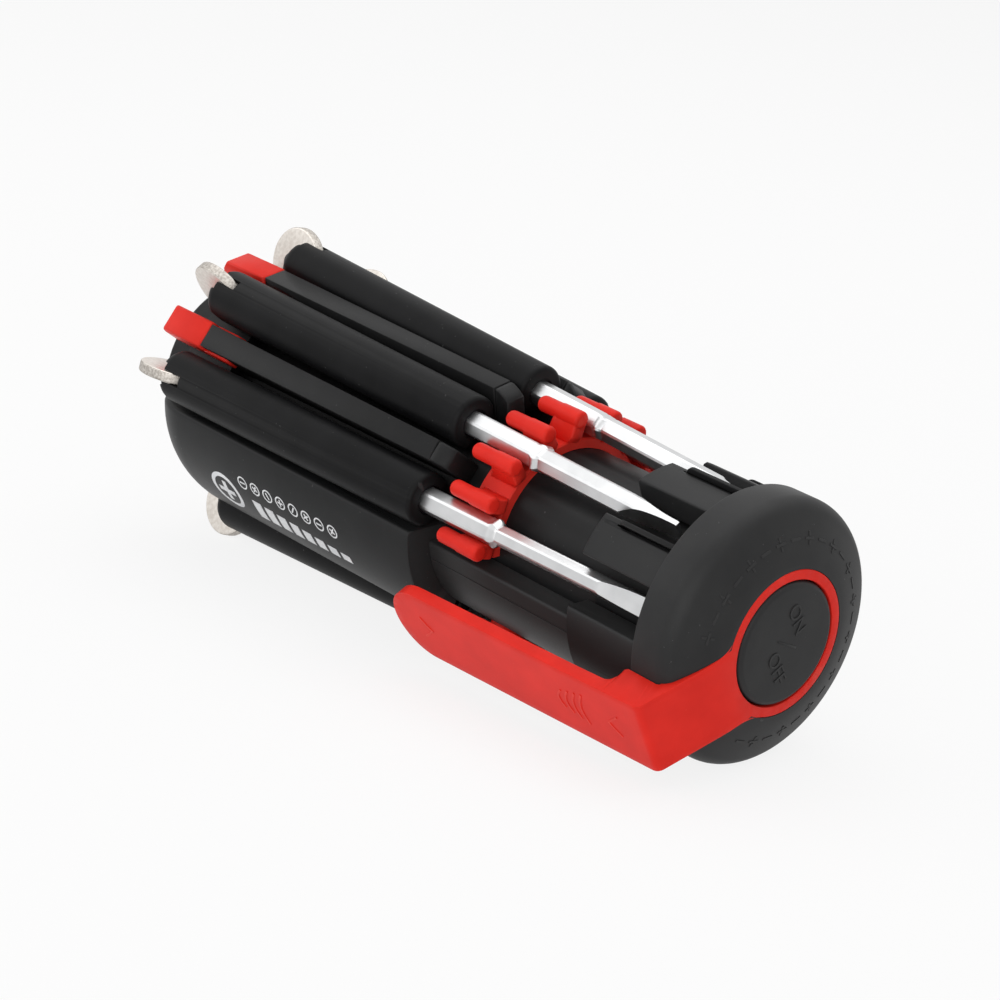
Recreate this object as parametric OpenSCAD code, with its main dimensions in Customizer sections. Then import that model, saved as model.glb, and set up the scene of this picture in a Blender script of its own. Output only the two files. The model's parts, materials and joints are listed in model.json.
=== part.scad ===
// Pocket screwdriver: screwdriver arms that fold against a torch body, with a tail cap and a pocket clip.
// The long axis lies along X, from the lamp face at zero to the button, and Z is up.

/* [Body] */
// Length from the lamp face to the ring round the button
body_len = 131; // [128:1:140]
// Outer radius of the body tube
core_r = 13.8; // [13.6:0.1:14.1]
// Radius of the bore that takes the battery holder
core_bore_r = 12.5; // [12.4:0.05:12.8]
// Radius of the collar that carries the hinges
collar_r = 16.6; // [16.2:0.1:16.9]
// Length of the collar
collar_len = 12; // [11.5:0.5:14]
// Thickness of the wall in front of the batteries
bulkhead_t = 2; // [1:0.5:3]
// Clearance between pieces that do not move on each other
seat_gap = 0.04; // [0.02:0.01:0.08]
// Clearance beside pieces that slide
slide_gap = 0.15; // [0.1:0.01:0.2]

/* [Arms] */
// Angle between the arms on the side of the panel's print
front_pitch = 42.5; // [41:0.5:42.5]
// Number of gaps between arms that have the front spacing
front_gaps = 3; // [2:1:3]
// Angle between the two arms beside the panel
panel_gap_angle = 84; // [82:0.5:84]
// Angle by which a folded arm leans in towards the cap
arm_lean = 2.8; // [2.6:0.1:3]
// Distance of the hinges from the lamp face
pivot_x = 9.9; // [9.7:0.1:10.4]
// Distance of the hinges from the long axis
pivot_r = 21.7; // [21.6:0.1:22.2]
// Radius of the round back of a grip
grip_r = 4.4; // [4.1:0.1:4.5]
// Depth of a grip below the line of its bit
grip_under = 3; // [2.5:0.1:3.2]
// Half width of a grip's flat underside
grip_under_half = 3.4; // [3:0.1:3.5]
// Length of a grip from its hinge to the bit's root
grip_len = 63.3; // [60:0.1:64]
// Distance by which a grip reaches past its hinge
grip_past = 0.3; // [0.1:0.1:0.6]

/* [Hinges] */
// Thickness of an arm's steel tongue
tongue_t = 1.8; // [1.4:0.1:2]
// Radius of a tongue's round eye
tongue_r = 6.1; // [5.8:0.1:6.2]
// Half height of a tongue inside the grip
tang_half = 2.2; // [1.8:0.1:2.4]
// Distance from the hinge to the end of a tongue
tang_len = 15; // [12:0.5:18]
// Width over the pair of ears that hold a hinge pin
ear_w = 3.8; // [3.6:0.1:4]
// Radius of an ear's round top
ear_r = 1.7; // [1.6:0.05:1.8]
// Half length of an ear's foot
ear_foot_half = 1.6; // [1.4:0.05:1.65]
// Radius of a hinge pin
pin_r = 1; // [0.8:0.05:1.1]
// Running clearance of a hinge pin
pin_gap = 0.05; // [0.03:0.01:0.08]

/* [Bits] */
// Radius over the corners of a bit's root
root_r = 2.2; // [2:0.05:2.3]
// Length of the root outside the grip
root_len = 14; // [13:0.5:16]
// Radius over the corners of a bit's shaft
shaft_r = 2.05; // [1.8:0.05:2.1]
// Radius of the crimped ring
crimp_r = 2.45; // [2.3:0.05:2.6]
// Length of the crimped ring
crimp_len = 1.4; // [1:0.1:2]
// Distance from the longest bit's tip to the cap's rim
tip_gap = 0.83; // [0.5:0.01:2]
// Thickness of a blade where it starts
blade_root_t = 3.4; // [2.8:0.1:3.5]
// Thickness of a blade at its tip
blade_tip_t = 0.8; // [0.6:0.1:1]
// Length of the cone of a cross bit
cross_len = 5; // [4:0.5:6]
// Radius of a cross bit at its tip
cross_tip_r = 0.6; // [0.4:0.1:0.8]
// Width of the four flutes of a cross bit
flute_w = 1; // [0.8:0.1:1.2]

/* [Ribs and lock slides] */
// Width of a rib at its lamp end
rib_lamp_w = 4.2; // [3.8:0.1:4.4]
// Width of a rib at its cap end
rib_cap_w = 3.4; // [3:0.1:3.5]
// Height of a rib's top over the axis at the lamp end
rib_high_r = 22.2; // [22:0.1:22.6]
// Height of a rib's top over the axis at the cap end
rib_low_r = 21.2; // [20.8:0.1:21.4]
// Distance from the end of a rib's flat top to the line of the grips' ends
rib_short = 1; // [0.5:0.1:2]
// Length of a rib's sloping end
rib_slope_len = 3; // [2:0.5:4]
// Height over the axis at which the sloping end stops
rib_slope_r = 19.6; // [18:0.1:20]
// Height of the ledge under a lock slide
ledge_r = 17.2; // [17:0.1:17.4]
// Distance of a lock slide from the lamp face
lock_x = 2.1; // [2.05:0.05:2.5]
// Length of a lock slide's block
lock_len = 11.6; // [11:0.1:12]
// Half width of a lock slide
lock_half = 2.45; // [2.2:0.05:2.5]
// Length of a lock slide's prongs
prong_len = 5.8; // [4:0.1:7]
// Thickness of a prong
prong_t = 1.1; // [0.9:0.1:1.2]
// Distance of a prong's top below the rib's top
prong_drop = 1.7; // [1.4:0.1:2]
// Height of a prong
prong_h = 3; // [2:0.1:3.2]

/* [Panel and guards] */
// Angle that the panel spans on each side of its middle
panel_half_angle = 27; // [24:0.5:27.5]
// Distance of the panel from the lamp face
panel_x = 4; // [3:0.5:5]
// Distance from the panel's end to the line of the grips' ends
panel_short = 0.6; // [0.4:0.1:3]
// Outer radius of the panel at the lamp end
panel_high_r = 22; // [21.6:0.1:22.2]
// Outer radius of the panel at its other end
panel_low_r = 21.4; // [21:0.1:21.6]
// Radius of the panel's rounded lamp end
panel_round_r = 4.5; // [3:0.5:5]
// Thickness of the panel's wall
panel_wall = 1.8; // [1.2:0.1:2.4]
// Angle that the recessed wall spans on each side of its middle
recess_half_angle = 19; // [17:0.5:20]
// Radius of the recessed wall under the clip
recess_r = 16.4; // [15.5:0.1:16.8]
// Angle that a guard finger spans on each side of its middle
finger_half_angle = 10.5; // [8:0.5:11]
// Inner radius of the guard fingers
finger_in_r = 14.6; // [14.3:0.1:15]
// Radius of the ring that joins the guard fingers
guard_ring_r = 16.8; // [16:0.1:17.5]
// Angle that the wide finger spans on each side of its middle
wide_finger_half_angle = 28; // [24:0.5:29]

/* [Clip ring] */
// Distance from the grips' ends to the clip ring
ring_gap = 5.5; // [5:0.1:6.5]
// Width of the clip ring's band
clip_ring_w = 6.6; // [5:0.1:7]
// Thickness of the clip ring's band
clip_ring_t = 1.6; // [1.2:0.1:1.8]
// Angle left open in the clip ring on each side of the panel's middle
clip_ring_open = 24; // [23:0.5:26]
// Radius of a round jaw
jaw_r = 1.4; // [1.2:0.05:1.5]
// Length of a round jaw
jaw_len = 9.2; // [7:0.1:9.4]

/* [Lamp] */
// Length of the bezel in front of the collar
bezel_len = 5; // [4.5:0.1:5.5]
// Outer radius of the bezel
bezel_r = 16.4; // [16:0.1:16.6]
// Length of the bezel's spigot in the collar
spigot_len = 2.9; // [2:0.1:3]
// Outer radius of the bezel's spigot
spigot_r = 14.7; // [14.4:0.1:14.8]
// Radius of the lens
lens_r = 12.95; // [12.9:0.05:13.4]
// Thickness of the lens
lens_t = 1.8; // [1.4:0.1:2.2]
// Depth of the reflector
reflector_len = 6.6; // [6:0.1:7]
// Number of LEDs
led_count = 6; // [4:1:6]
// Radius of the ring of LEDs
led_ring_r = 7.9; // [7.6:0.1:8.2]
// Radius of an LED
led_r = 2.5; // [2.3:0.1:2.5]
// Thickness of an LED's base
led_base_t = 1.1; // [0.8:0.1:1.4]
// Front radius of a reflector cup
cup_r = 3.7; // [3.4:0.1:3.8]
// Thickness of the LED board
board_t = 1.4; // [1:0.1:1.6]
// Radius of a lead wire
lead_r = 0.6; // [0.4:0.1:0.8]

/* [Batteries] */
// Radius of a cell
cell_r = 5.2; // [5.15:0.01:5.25]
// Length of a cell
cell_len = 44.5; // [44:0.1:44.5]
// Radius of a cell's contact button
cell_button_r = 1.9; // [1.7:0.1:2]
// Height of a cell's contact button
cell_button_h = 0.8; // [0.6:0.1:1]
// Distance of the cells from the long axis
cell_ring_r = 6.1; // [6.05:0.01:6.2]
// Thickness of the holder's end plates
holder_t = 2; // [1.5:0.1:2.5]
// Radius of the holder
holder_r = 12.2; // [12:0.05:12.3]
// Radius of the holder's posts
holder_post_r = 1.3; // [1:0.1:1.3]
// Radius of the contact springs
contact_r = 4; // [3:0.5:5]
// Length of the contact springs
contact_len = 2.4; // [2:0.1:3]
// Wire radius of the contact springs
contact_wire_r = 0.4; // [0.3:0.05:0.5]

/* [Cap] */
// Radius of the cap
cap_r = 20.6; // [20.4:0.1:21]
// Length from the cap's rim to the ring round the button
cap_len = 10.2; // [10:0.1:10.6]
// Thickness of the cap's skirt
cap_wall = 1.5; // [1.3:0.1:1.6]
// Radius of the cap's rounded edge
cap_edge_r = 2.4; // [2:0.1:2.8]
// Height of the domed face over the rounded edge
dome_h = 2.4; // [2:0.1:2.6]
// Depth of the space for the guard fingers
cap_space = 4.2; // [3.8:0.1:4.4]
// Thickness of the wall that holds the button
button_wall = 1.6; // [1.2:0.1:1.8]
// Outer radius of the hub inside the cap
hub_r = 12.3; // [12.2:0.05:12.35]
// Thickness of the hub's wall
hub_wall = 1.7; // [1.4:0.1:1.8]
// Length of the hub past the cap's rim
hub_drop = 3.2; // [2.5:0.1:3.4]

/* [Clip and button] */
// Radius of the clip's ring
ring_r = 11.3; // [11:0.1:11.6]
// Radius of the hole in the ring
hole_r = 9.75; // [9.6:0.05:9.9]
// Thickness of the clip
clip_t = 2; // [1.6:0.1:2.2]
// Half width of the clip
clip_half = 6.6; // [6:0.1:7]
// Outer radius at the clip's bend
clip_bend_r = 24.6; // [24.4:0.1:25.2]
// Distance of the bend behind the ring
clip_bend_drop = 3.9; // [3.4:0.1:4]
// Outer radius at the clip's free end
clip_free_r = 26.8; // [26.4:0.1:27.4]
// Length of the clip from the ring to its free end
clip_len = 57; // [50:0.5:58]
// Chamfer on the clip's bend
clip_chamfer = 0.8; // [0.4:0.1:1.2]
// Radius of the button
button_r = 9.5; // [9.3:0.05:9.6]
// Height of the button's face over the ring
button_rise = 0.5; // [0.2:0.1:0.8]
// Radius of the button's flange
flange_r = 10.4; // [10.2:0.05:10.45]
// Thickness of the button's flange
flange_t = 1.2; // [0.8:0.1:1.4]
// Thickness of the switch body
switch_t = 3; // [2.6:0.1:3.2]
// Depth of the switch body's lower face below the cap's rim
switch_drop = 2.3; // [2:0.1:2.6]
// Radius of the button's return spring
return_r = 4.5; // [3:0.5:6]

/* [Hidden] */
// Overrun of every cut
cut = 0.5;
// Facets of round pieces
$fn = 64;
// Width of the ribs and lock slides at the back as a share of those in front
back_width_share = 0.8;
// Kind of each bit, one for slotted and zero for cross
slotted_flags = [1, 1, 0, 1, 0, 1, 0, 0];
// Turn of each bit about its own line
bit_turns = [0, 90, 45, 90, 0, 0, 45, 0];
// Reach of each bit as a share of the longest
reach_shares = [1, 0.97, 0.985, 0.975, 0.99, 0.98, 0.985, 0.97];
// Half width of each blade as a share of the shaft's radius
blade_half_shares = [1.05, 1.1, 1, 1, 1, 1.05, 1, 1];
// Length of a ground blade as a share of the shaft before it
blade_share = 0.35;
// Width over a bit's flats as a share of the width over its corners
flat_share = 0.866;
// Length of the guard fingers as a share of the way from the jaws to the cap
finger_share = 0.446;
// Height of a jaw over the line of the bit as a share of the jaw's radius
jaw_rise_share = 0.3;
// Radius of the hole behind a reflector cup as a share of the LED's radius
cup_back_share = 1.06;

arm_count = len(slotted_flags);
// The other arms share what is left of the circle, with the two lowest arms evenly about straight down
back_pitch = (360 - panel_gap_angle - front_gaps * front_pitch) / (arm_count - 1 - front_gaps);
first_arm_angle = 180 - back_pitch / 2 - panel_gap_angle;
panel_angle = first_arm_angle + panel_gap_angle / 2;
collar_x = bezel_len;
collar_end_x = collar_x + collar_len;
rim_x = body_len - cap_len;
slot_w = tongue_t + 2 * seat_gap;
slot_len = tongue_r + seat_gap;
root_x = tang_len + grip_r;
fork_w = ear_w + 2 * slide_gap;
fork_len = ear_r + slide_gap;
rib_x = lock_x + lock_len + slide_gap;
grip_end_x = pivot_x + grip_len * cos(arm_lean);
rib_end_x = grip_end_x - rib_short;
panel_end_x = grip_end_x - panel_short;
clip_ring_x = grip_end_x + ring_gap;
jaw_mid_x = clip_ring_x + clip_ring_w / 2;
jaw_end_x = jaw_mid_x + jaw_len / 2;
crimp_x = grip_len + root_len;
bit_reach = (rim_x - tip_gap - pivot_x) / cos(arm_lean);
blade_len = blade_share * (bit_reach - crimp_x - crimp_len);
finger_x = rim_x - finger_share * (rim_x - jaw_end_x);
rib_foot_x = rib_end_x + rib_slope_len;
finger_r = cap_r - cap_wall - slide_gap;
finger_end_x = rim_x + cap_space - slide_gap;
guard_ring_x = rim_x + slide_gap;
panel_gap = slide_gap;
recess_x = panel_end_x + panel_gap;
reflector_x = lens_t + seat_gap;
reflector_end_x = reflector_x + reflector_len;
led_base_x = reflector_end_x + seat_gap;
board_x = led_base_x + led_base_t + seat_gap;
board_end_x = board_x + board_t;
hub_x = rim_x - hub_drop;
switch_x = rim_x - switch_drop;
switch_end_x = switch_x + switch_t;
ring_back_x = body_len - clip_t;
wall_x = ring_back_x - seat_gap - button_wall;
flange_end_x = wall_x - slide_gap;
flange_x = flange_end_x - flange_t;
holder_len = cell_len + 2 * holder_t + 4 * seat_gap;
holder_end_x = switch_x - contact_len;
holder_x = holder_end_x - holder_len;
bulkhead_end_x = holder_x - contact_len;
clip_free_x = body_len - clip_len;

function arm_angle(i) = first_arm_angle - front_pitch * min(i - 1, front_gaps)
    - back_pitch * max(i - 1 - front_gaps, 0);
function rib_angle(i) = (arm_angle(i) + arm_angle(i + 1)) / 2;
// Half width of a rib at a place along the body
function rib_half(x, share) =
    share * (rib_lamp_w + (rib_cap_w - rib_lamp_w) * (x - collar_x) / (rib_foot_x - collar_x)) / 2;
function width_share(i) = i > front_gaps ? back_width_share : 1;
// Height over the axis of a bit's line at a place along the body
function bit_line_r(x) = pivot_r - (x - pivot_x) * tan(arm_lean);

// Turns children from straight up to an angle round the long axis
module at_angle(a) {
    rotate([a, 0, 0]) children();
}

// Places children on an arm's line, with the hinge at zero and the bit along X
module on_arm(i) {
    at_angle(arm_angle(i)) translate([pivot_x, 0, pivot_r]) rotate([0, arm_lean, 0]) children();
}

// Round bar along X
module bar(r, x0, x1) {
    translate([x0, 0, 0]) rotate([0, 90, 0]) cylinder(r = r, h = x1 - x0);
}

// Bar with six flats along X and a corner on top
module hex_bar(r, x0, x1) {
    translate([x0, 0, 0]) rotate([90, 0, 90]) linear_extrude(height = x1 - x0)
        rotate(90) circle(r = r, $fn = 6);
}

// Round tube along X
module tube(r, bore, x0, x1) {
    difference() {
        bar(r, x0, x1);
        bar(bore, x0 - cut, x1 + cut);
    }
}

// Sector of a turned profile given as points of radius and place along X
module turned_sector(middle, half, points) {
    rotate([0, 90, 0]) rotate([0, 0, 180 + middle - half]) rotate_extrude(angle = 2 * half) polygon(points);
}

module turned(points) {
    rotate([0, 90, 0]) rotate_extrude() polygon(points);
}

// Plate in the radial plane given as points along X and of height
module side_plate(w, points) {
    rotate([90, 0, 0]) linear_extrude(height = w, center = true) polygon(points);
}

// Box between two corners
module block(low, high) {
    translate(low) cube(high - low);
}

// Points of an arc round a centre
function arc(centre, r, a0, a1, n) =
    [for (i = [0:n]) centre + r * [cos(a0 + (a1 - a0) * i / n), sin(a0 + (a1 - a0) * i / n)]];

// Draws children on both sides of the radial plane
module both_sides() {
    for (turn = [0, 1])
        mirror([0, turn, 0]) children();
}

// Rib that narrows towards the cap, with a ledge at its lamp end and a slope at the other
module rib_solid(share) {
    x0 = collar_x - cut;
    x1 = rib_foot_x + cut;
    intersection() {
        side_plate(2 * rib_lamp_w, [[collar_x, core_r - cut], [collar_x, ledge_r], [rib_x, ledge_r],
            [rib_x, rib_high_r], [rib_end_x, rib_low_r], [rib_foot_x, rib_slope_r],
            [rib_foot_x, core_r - cut]]);
        linear_extrude(height = rib_high_r + cut)
            polygon([[x0, -rib_half(x0, share)], [x1, -rib_half(x1, share)], [x1, rib_half(x1, share)],
                [x0, rib_half(x0, share)]]);
    }
}

// Grooves for the prongs of a lock slide
module rib_grooves(share) {
    groove_top = rib_high_r - prong_drop + slide_gap;
    groove_in = share * lock_half - prong_t - slide_gap;
    both_sides()
        block([rib_x - cut, groove_in, groove_top - prong_h - 2 * slide_gap],
            [rib_x + prong_len + slide_gap, rib_lamp_w / 2 + cut, groove_top]);
}

// Places children at the hinge of an arm, with the pin's line along Z
module at_hinge(i) {
    at_angle(arm_angle(i)) translate([pivot_x, 0, pivot_r]) rotate([90, 0, 0]) children();
}

module core() {
    color("#1b1b1c") difference() {
        union() {
            bar(core_r, collar_x, finger_end_x);
            bar(collar_r, collar_x, collar_end_x);
            for (i = [1:arm_count]) {
                at_hinge(i) cylinder(r = ear_r, h = ear_w, center = true);
                at_angle(arm_angle(i)) block([pivot_x - ear_foot_half, -ear_w / 2, core_r],
                    [pivot_x + ear_foot_half, ear_w / 2, pivot_r]);
            }
        }
        bar(core_bore_r, collar_x - cut, bulkhead_end_x - bulkhead_t);
        bar(core_bore_r, bulkhead_end_x, finger_end_x + cut);
        bar(spigot_r + seat_gap, collar_x - cut, collar_x + spigot_len + seat_gap);
        for (i = [1:arm_count])
            at_hinge(i) {
                cylinder(r = tongue_r + slide_gap, h = tongue_t + 2 * slide_gap, center = true);
                cylinder(r = pin_r + seat_gap / 4, h = ear_w + 2 * cut, center = true);
            }
    }
}

module ribs() {
    color("#1d1d1e")
        for (i = [1:arm_count - 1])
            at_angle(rib_angle(i)) difference() {
                rib_solid(width_share(i));
                rib_grooves(width_share(i));
                bar(core_r + seat_gap, collar_x - cut, rib_foot_x + cut);
                bar(collar_r + seat_gap, collar_x - cut, collar_end_x + seat_gap);
            }
}

// Ring inside the cap that carries the guard fingers and the recessed wall
module guards() {
    inner_r = core_r + seat_gap;
    finger_points = [[finger_in_r, finger_x], [finger_r, finger_x], [finger_r, finger_end_x],
        [finger_in_r, finger_end_x]];
    color("#19191a") union() {
        tube(guard_ring_r, inner_r, guard_ring_x, finger_end_x - slide_gap);
        for (i = [1:arm_count - 1])
            turned_sector(rib_angle(i), finger_half_angle * width_share(i), finger_points);
        turned_sector(panel_angle, recess_half_angle, [[inner_r, recess_x], [recess_r, recess_x],
            [recess_r, finger_x + cut], [inner_r, finger_x + cut]]);
        turned_sector(panel_angle, wide_finger_half_angle, finger_points);
    }
}

module hinge_pins() {
    color("#a9a9a6")
        for (i = [1:arm_count])
            at_hinge(i) cylinder(r = pin_r, h = ear_w, center = true);
}

module panel() {
    low_r = collar_r + seat_gap;
    tube_r = core_r + seat_gap;
    step_x = collar_end_x + panel_gap;
    round_r = panel_round_r;
    hollow_half = panel_half_angle - asin(panel_wall / panel_low_r);
    color("#202021") difference() {
        turned_sector(panel_angle, panel_half_angle, concat(
            [[low_r, panel_x]],
            arc([panel_high_r - round_r, panel_x + round_r], round_r, 270, 360, 8),
            [[panel_low_r, panel_end_x], [tube_r, panel_end_x], [tube_r, step_x], [low_r, step_x]]));
        turned_sector(panel_angle, hollow_half, [[tube_r - cut, step_x + panel_wall],
            [panel_high_r - panel_wall, step_x + panel_wall],
            [panel_low_r - panel_wall, panel_end_x - panel_wall], [tube_r - cut, panel_end_x - panel_wall]]);
    }
}

// Round jaw beside a bit, with its post
module jaw() {
    jaw_z = bit_line_r(jaw_mid_x) + jaw_rise_share * jaw_r;
    jaw_y = root_r + slide_gap + jaw_r;
    translate([0, jaw_y, jaw_z]) bar(jaw_r, jaw_mid_x - jaw_len / 2, jaw_end_x);
    block([clip_ring_x, jaw_y - jaw_r, core_r + clip_ring_t / 2],
        [clip_ring_x + clip_ring_w, jaw_y, jaw_z]);
}

module clip_ring() {
    inner_r = core_r + seat_gap;
    outer_r = inner_r + clip_ring_t;
    color("#d8261f") union() {
        turned_sector(panel_angle + 180, 180 - clip_ring_open, [[inner_r, clip_ring_x],
            [outer_r, clip_ring_x], [outer_r, clip_ring_x + clip_ring_w],
            [inner_r, clip_ring_x + clip_ring_w]]);
        for (i = [1:arm_count])
            at_angle(arm_angle(i)) both_sides() jaw();
    }
}

module bezel() {
    color("#161617") difference() {
        union() {
            bar(bezel_r, 0, bezel_len - seat_gap);
            bar(spigot_r, 0, bezel_len + spigot_len);
        }
        bar(lens_r + seat_gap, -cut, lens_t);
        bar(core_bore_r, -cut, bezel_len + spigot_len + cut);
    }
}

module lens() {
    color("#dfe8ee", 0.35) bar(lens_r, 0, lens_t - seat_gap);
}

module on_leds() {
    for (i = [1:led_count])
        at_angle(360 * i / led_count) translate([0, 0, led_ring_r]) children();
}

module reflector() {
    back_r = led_r * cup_back_share;
    color("#d5d8da") difference() {
        bar(core_bore_r - seat_gap, reflector_x, reflector_end_x);
        on_leds() {
            translate([reflector_x - cut, 0, 0]) rotate([0, 90, 0])
                cylinder(r1 = cup_r, r2 = back_r, h = reflector_len / 2 + cut);
            bar(back_r, reflector_x, reflector_end_x + cut);
        }
    }
}

module leds() {
    dome_x = reflector_x + reflector_len / 2;
    color("#f4f4ee") on_leds() {
        bar(led_r, dome_x, led_base_x + led_base_t / 2);
        translate([dome_x, 0, 0]) sphere(r = led_r);
        bar(led_r + led_base_t / 2, led_base_x, led_base_x + led_base_t);
    }
}

module led_board() {
    color("#2f6b3c") bar(core_bore_r - seat_gap, board_x, board_end_x);
}

module lead_wires() {
    lead_off = core_bore_r - 2 * lead_r;
    color("#b5342c")
        for (side = [-1, 1])
            translate([0, side * lead_off, 0])
                bar(lead_r, board_end_x + seat_gap, bulkhead_end_x - bulkhead_t - seat_gap);
}

// Contact spring along X
module contact(x0, x1) {
    color("#c0c2c4") tube(contact_r, contact_r - 2 * contact_wire_r, x0 + seat_gap, x1 - seat_gap);
}

module front_contact() {
    contact(bulkhead_end_x, holder_x);
}

module tail_contact() {
    contact(holder_end_x, switch_x);
}

module battery_holder() {
    color("#262628") {
        bar(holder_r, holder_x, holder_x + holder_t);
        bar(holder_r, holder_end_x - holder_t, holder_end_x);
        for (i = [0:2])
            at_angle(120 * i + 60) translate([0, 0, holder_r - holder_post_r - slide_gap])
                bar(holder_post_r, holder_x + cut, holder_end_x - cut);
    }
}

module batteries() {
    cell_x = holder_x + holder_t + seat_gap;
    color("#4f6d8f")
        for (i = [0:2])
            at_angle(120 * i) translate([0, 0, cell_ring_r]) {
                bar(cell_r, cell_x, cell_x + cell_len - cell_button_h);
                bar(cell_button_r, cell_x, cell_x + cell_len);
            }
}

// Cross section of a grip with a round back, seen along the bit
module grip_section() {
    intersection() {
        circle(r = grip_r);
        translate([-grip_r, 0]) square([2 * grip_r, grip_r]);
    }
    polygon([[-grip_r, 0], [-grip_under_half, -grip_under], [grip_under_half, -grip_under], [grip_r, 0]]);
}

module grip(i) {
    color("#1e1e1f") on_arm(i) difference() {
        translate([-grip_past, 0, 0]) rotate([90, 0, 90])
            linear_extrude(height = grip_len + grip_past) grip_section();
        block([-grip_past - cut, -fork_w / 2, -grip_under - cut], [fork_len, fork_w / 2, grip_r + cut]);
        block([fork_len - cut, -slot_w / 2, -grip_under - cut], [slot_len, slot_w / 2, grip_r + cut]);
        block([slot_len - cut, -slot_w / 2, -tang_half - seat_gap],
            [tang_len + seat_gap, slot_w / 2, tang_half + seat_gap]);
        bar(root_r, root_x, grip_len + cut);
    }
}

// Flat steel tongue with a round eye at the hinge
module tongue(i) {
    color("#c9c2b8") on_arm(i) difference() {
        union() {
            rotate([90, 0, 0]) cylinder(r = tongue_r, h = tongue_t, center = true);
            block([0, -tongue_t / 2, -tang_half], [tang_len, tongue_t / 2, tang_half]);
        }
        rotate([90, 0, 0]) cylinder(r = pin_r + pin_gap, h = tongue_t + 2 * cut, center = true);
    }
}

// Ground flat blade that ends at a reach from the hinge
module slotted_tip(reach, half) {
    start = reach - blade_len;
    intersection() {
        bar(half, start, reach);
        side_plate(2 * half + cut, [[start, blade_root_t / 2], [reach, blade_tip_t / 2],
            [reach, -blade_tip_t / 2], [start, -blade_root_t / 2]]);
    }
}

// Cone with four flutes that ends at a reach from the hinge
module cross_tip(reach) {
    start = reach - cross_len;
    neck_r = flat_share * shaft_r;
    difference() {
        translate([start, 0, 0]) rotate([0, 90, 0]) cylinder(r1 = neck_r, r2 = cross_tip_r, h = cross_len);
        for (k = [0:3])
            rotate([90 * k + 45, 0, 0])
                side_plate(flute_w, [[start, neck_r + cut], [reach + cut, neck_r + cut],
                    [reach + cut, cross_tip_r / 2], [start, neck_r]]);
    }
}

module bit(i) {
    reach = bit_reach * reach_shares[i - 1];
    slotted = slotted_flags[i - 1] == 1;
    color("#d9dbdd") on_arm(i) {
        hex_bar(root_r - seat_gap / 4, root_x, crimp_x);
        bar(crimp_r, crimp_x, crimp_x + crimp_len);
        hex_bar(shaft_r, crimp_x, reach - (slotted ? blade_len : cross_len) + cut);
        rotate([bit_turns[i - 1], 0, 0]) {
            if (slotted) slotted_tip(reach, shaft_r * blade_half_shares[i - 1]);
            else cross_tip(reach);
        }
    }
}

module lock_slide(i) {
    half = lock_half * width_share(i);
    end_x = lock_x + lock_len;
    prong_top = rib_high_r - prong_drop;
    color("#d8261f") at_angle(rib_angle(i)) {
        block([lock_x, -half, ledge_r + slide_gap], [end_x, half, rib_high_r]);
        both_sides()
            block([end_x - cut, half - prong_t, prong_top - prong_h], [end_x + prong_len, half, prong_top]);
    }
}

// Line of the clip's upper face over its end strip, lowered by a depth
function strip_points(depth, inner, outer_r) = [[body_len - depth, inner], [body_len - depth, ring_r],
    [body_len - depth - clip_bend_drop * (outer_r - ring_r) / (clip_bend_r - ring_r), outer_r]];

module cap() {
    edge_x = body_len - dome_h - cap_edge_r;
    edge_r = cap_r - cap_edge_r;
    space_x = rim_x + cap_space;
    strip_low = strip_points(clip_t + seat_gap, 0, cap_r + cut);
    color("#2a2a2b") difference() {
        union() {
            difference() {
                union() {
                    turned([[0, rim_x], [cap_r, rim_x], [cap_r, edge_x], [edge_r, edge_x + cap_edge_r],
                        [ring_r, body_len], [0, body_len]]);
                    rotate([0, 90, 0]) rotate_extrude() translate([edge_r, edge_x]) circle(r = cap_edge_r);
                }
                bar(cap_r - cap_wall, rim_x - cut, space_x);
            }
            bar(hub_r, hub_x, space_x + cut);
        }
        bar(hub_r - hub_wall, hub_x - cut, wall_x);
        bar(hole_r, wall_x - cut, body_len + cut);
        bar(ring_r + seat_gap, ring_back_x - seat_gap, body_len + cut);
        at_angle(panel_angle)
            side_plate(2 * (clip_half + seat_gap),
                concat(strip_low, [[body_len + cut, cap_r + cut], [body_len + cut, 0]]));
    }
}

module clip() {
    top = strip_points(0, hole_r, clip_bend_r);
    low = strip_points(clip_t, hole_r, clip_bend_r - clip_t);
    bend = top[2];
    inner_bend = low[2];
    round_x = clip_free_x + clip_half;
    hook_r = cap_r - clip_t;
    hook_top_r = clip_bend_r - clip_t / 2;
    color("#dc2a22") union() {
        tube(ring_r, hole_r, ring_back_x, body_len);
        at_angle(panel_angle) difference() {
            side_plate(2 * clip_half, [[rim_x, hook_r], [rim_x, hook_top_r],
                strip_points(clip_t / 2, hole_r, hook_top_r)[2],
                strip_points(clip_t / 2, hole_r, hook_r)[2]]);
            bar(cap_r + seat_gap, rim_x - cut, body_len + cut);
        }
        at_angle(panel_angle) difference() {
            intersection() {
                side_plate(2 * clip_half, [top[0], top[1], bend - [0, clip_chamfer], bend - [clip_chamfer, 0],
                    [clip_free_x, clip_free_r], [clip_free_x, clip_free_r - clip_t], inner_bend, low[1],
                    low[0]]);
                union() {
                    block([round_x, -clip_half - cut, 0],
                        [body_len + cut, clip_half + cut, clip_free_r + cut]);
                    translate([round_x, 0, 0]) cylinder(r = clip_half, h = clip_free_r + cut);
                }
            }
            bar(hole_r, ring_back_x - cut, body_len + cut);
        }
    }
}

module switch_body() {
    color("#3a3a3c") bar(hub_r - hub_wall - seat_gap, switch_x, switch_end_x);
}

module button() {
    color("#262627") {
        bar(button_r, flange_x, body_len + button_rise);
        bar(flange_r, flange_x, flange_end_x);
    }
}

module return_spring() {
    color("#c0c2c4")
        tube(return_r, return_r - 2 * contact_wire_r, switch_end_x + seat_gap, flange_x - seat_gap);
}

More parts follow.
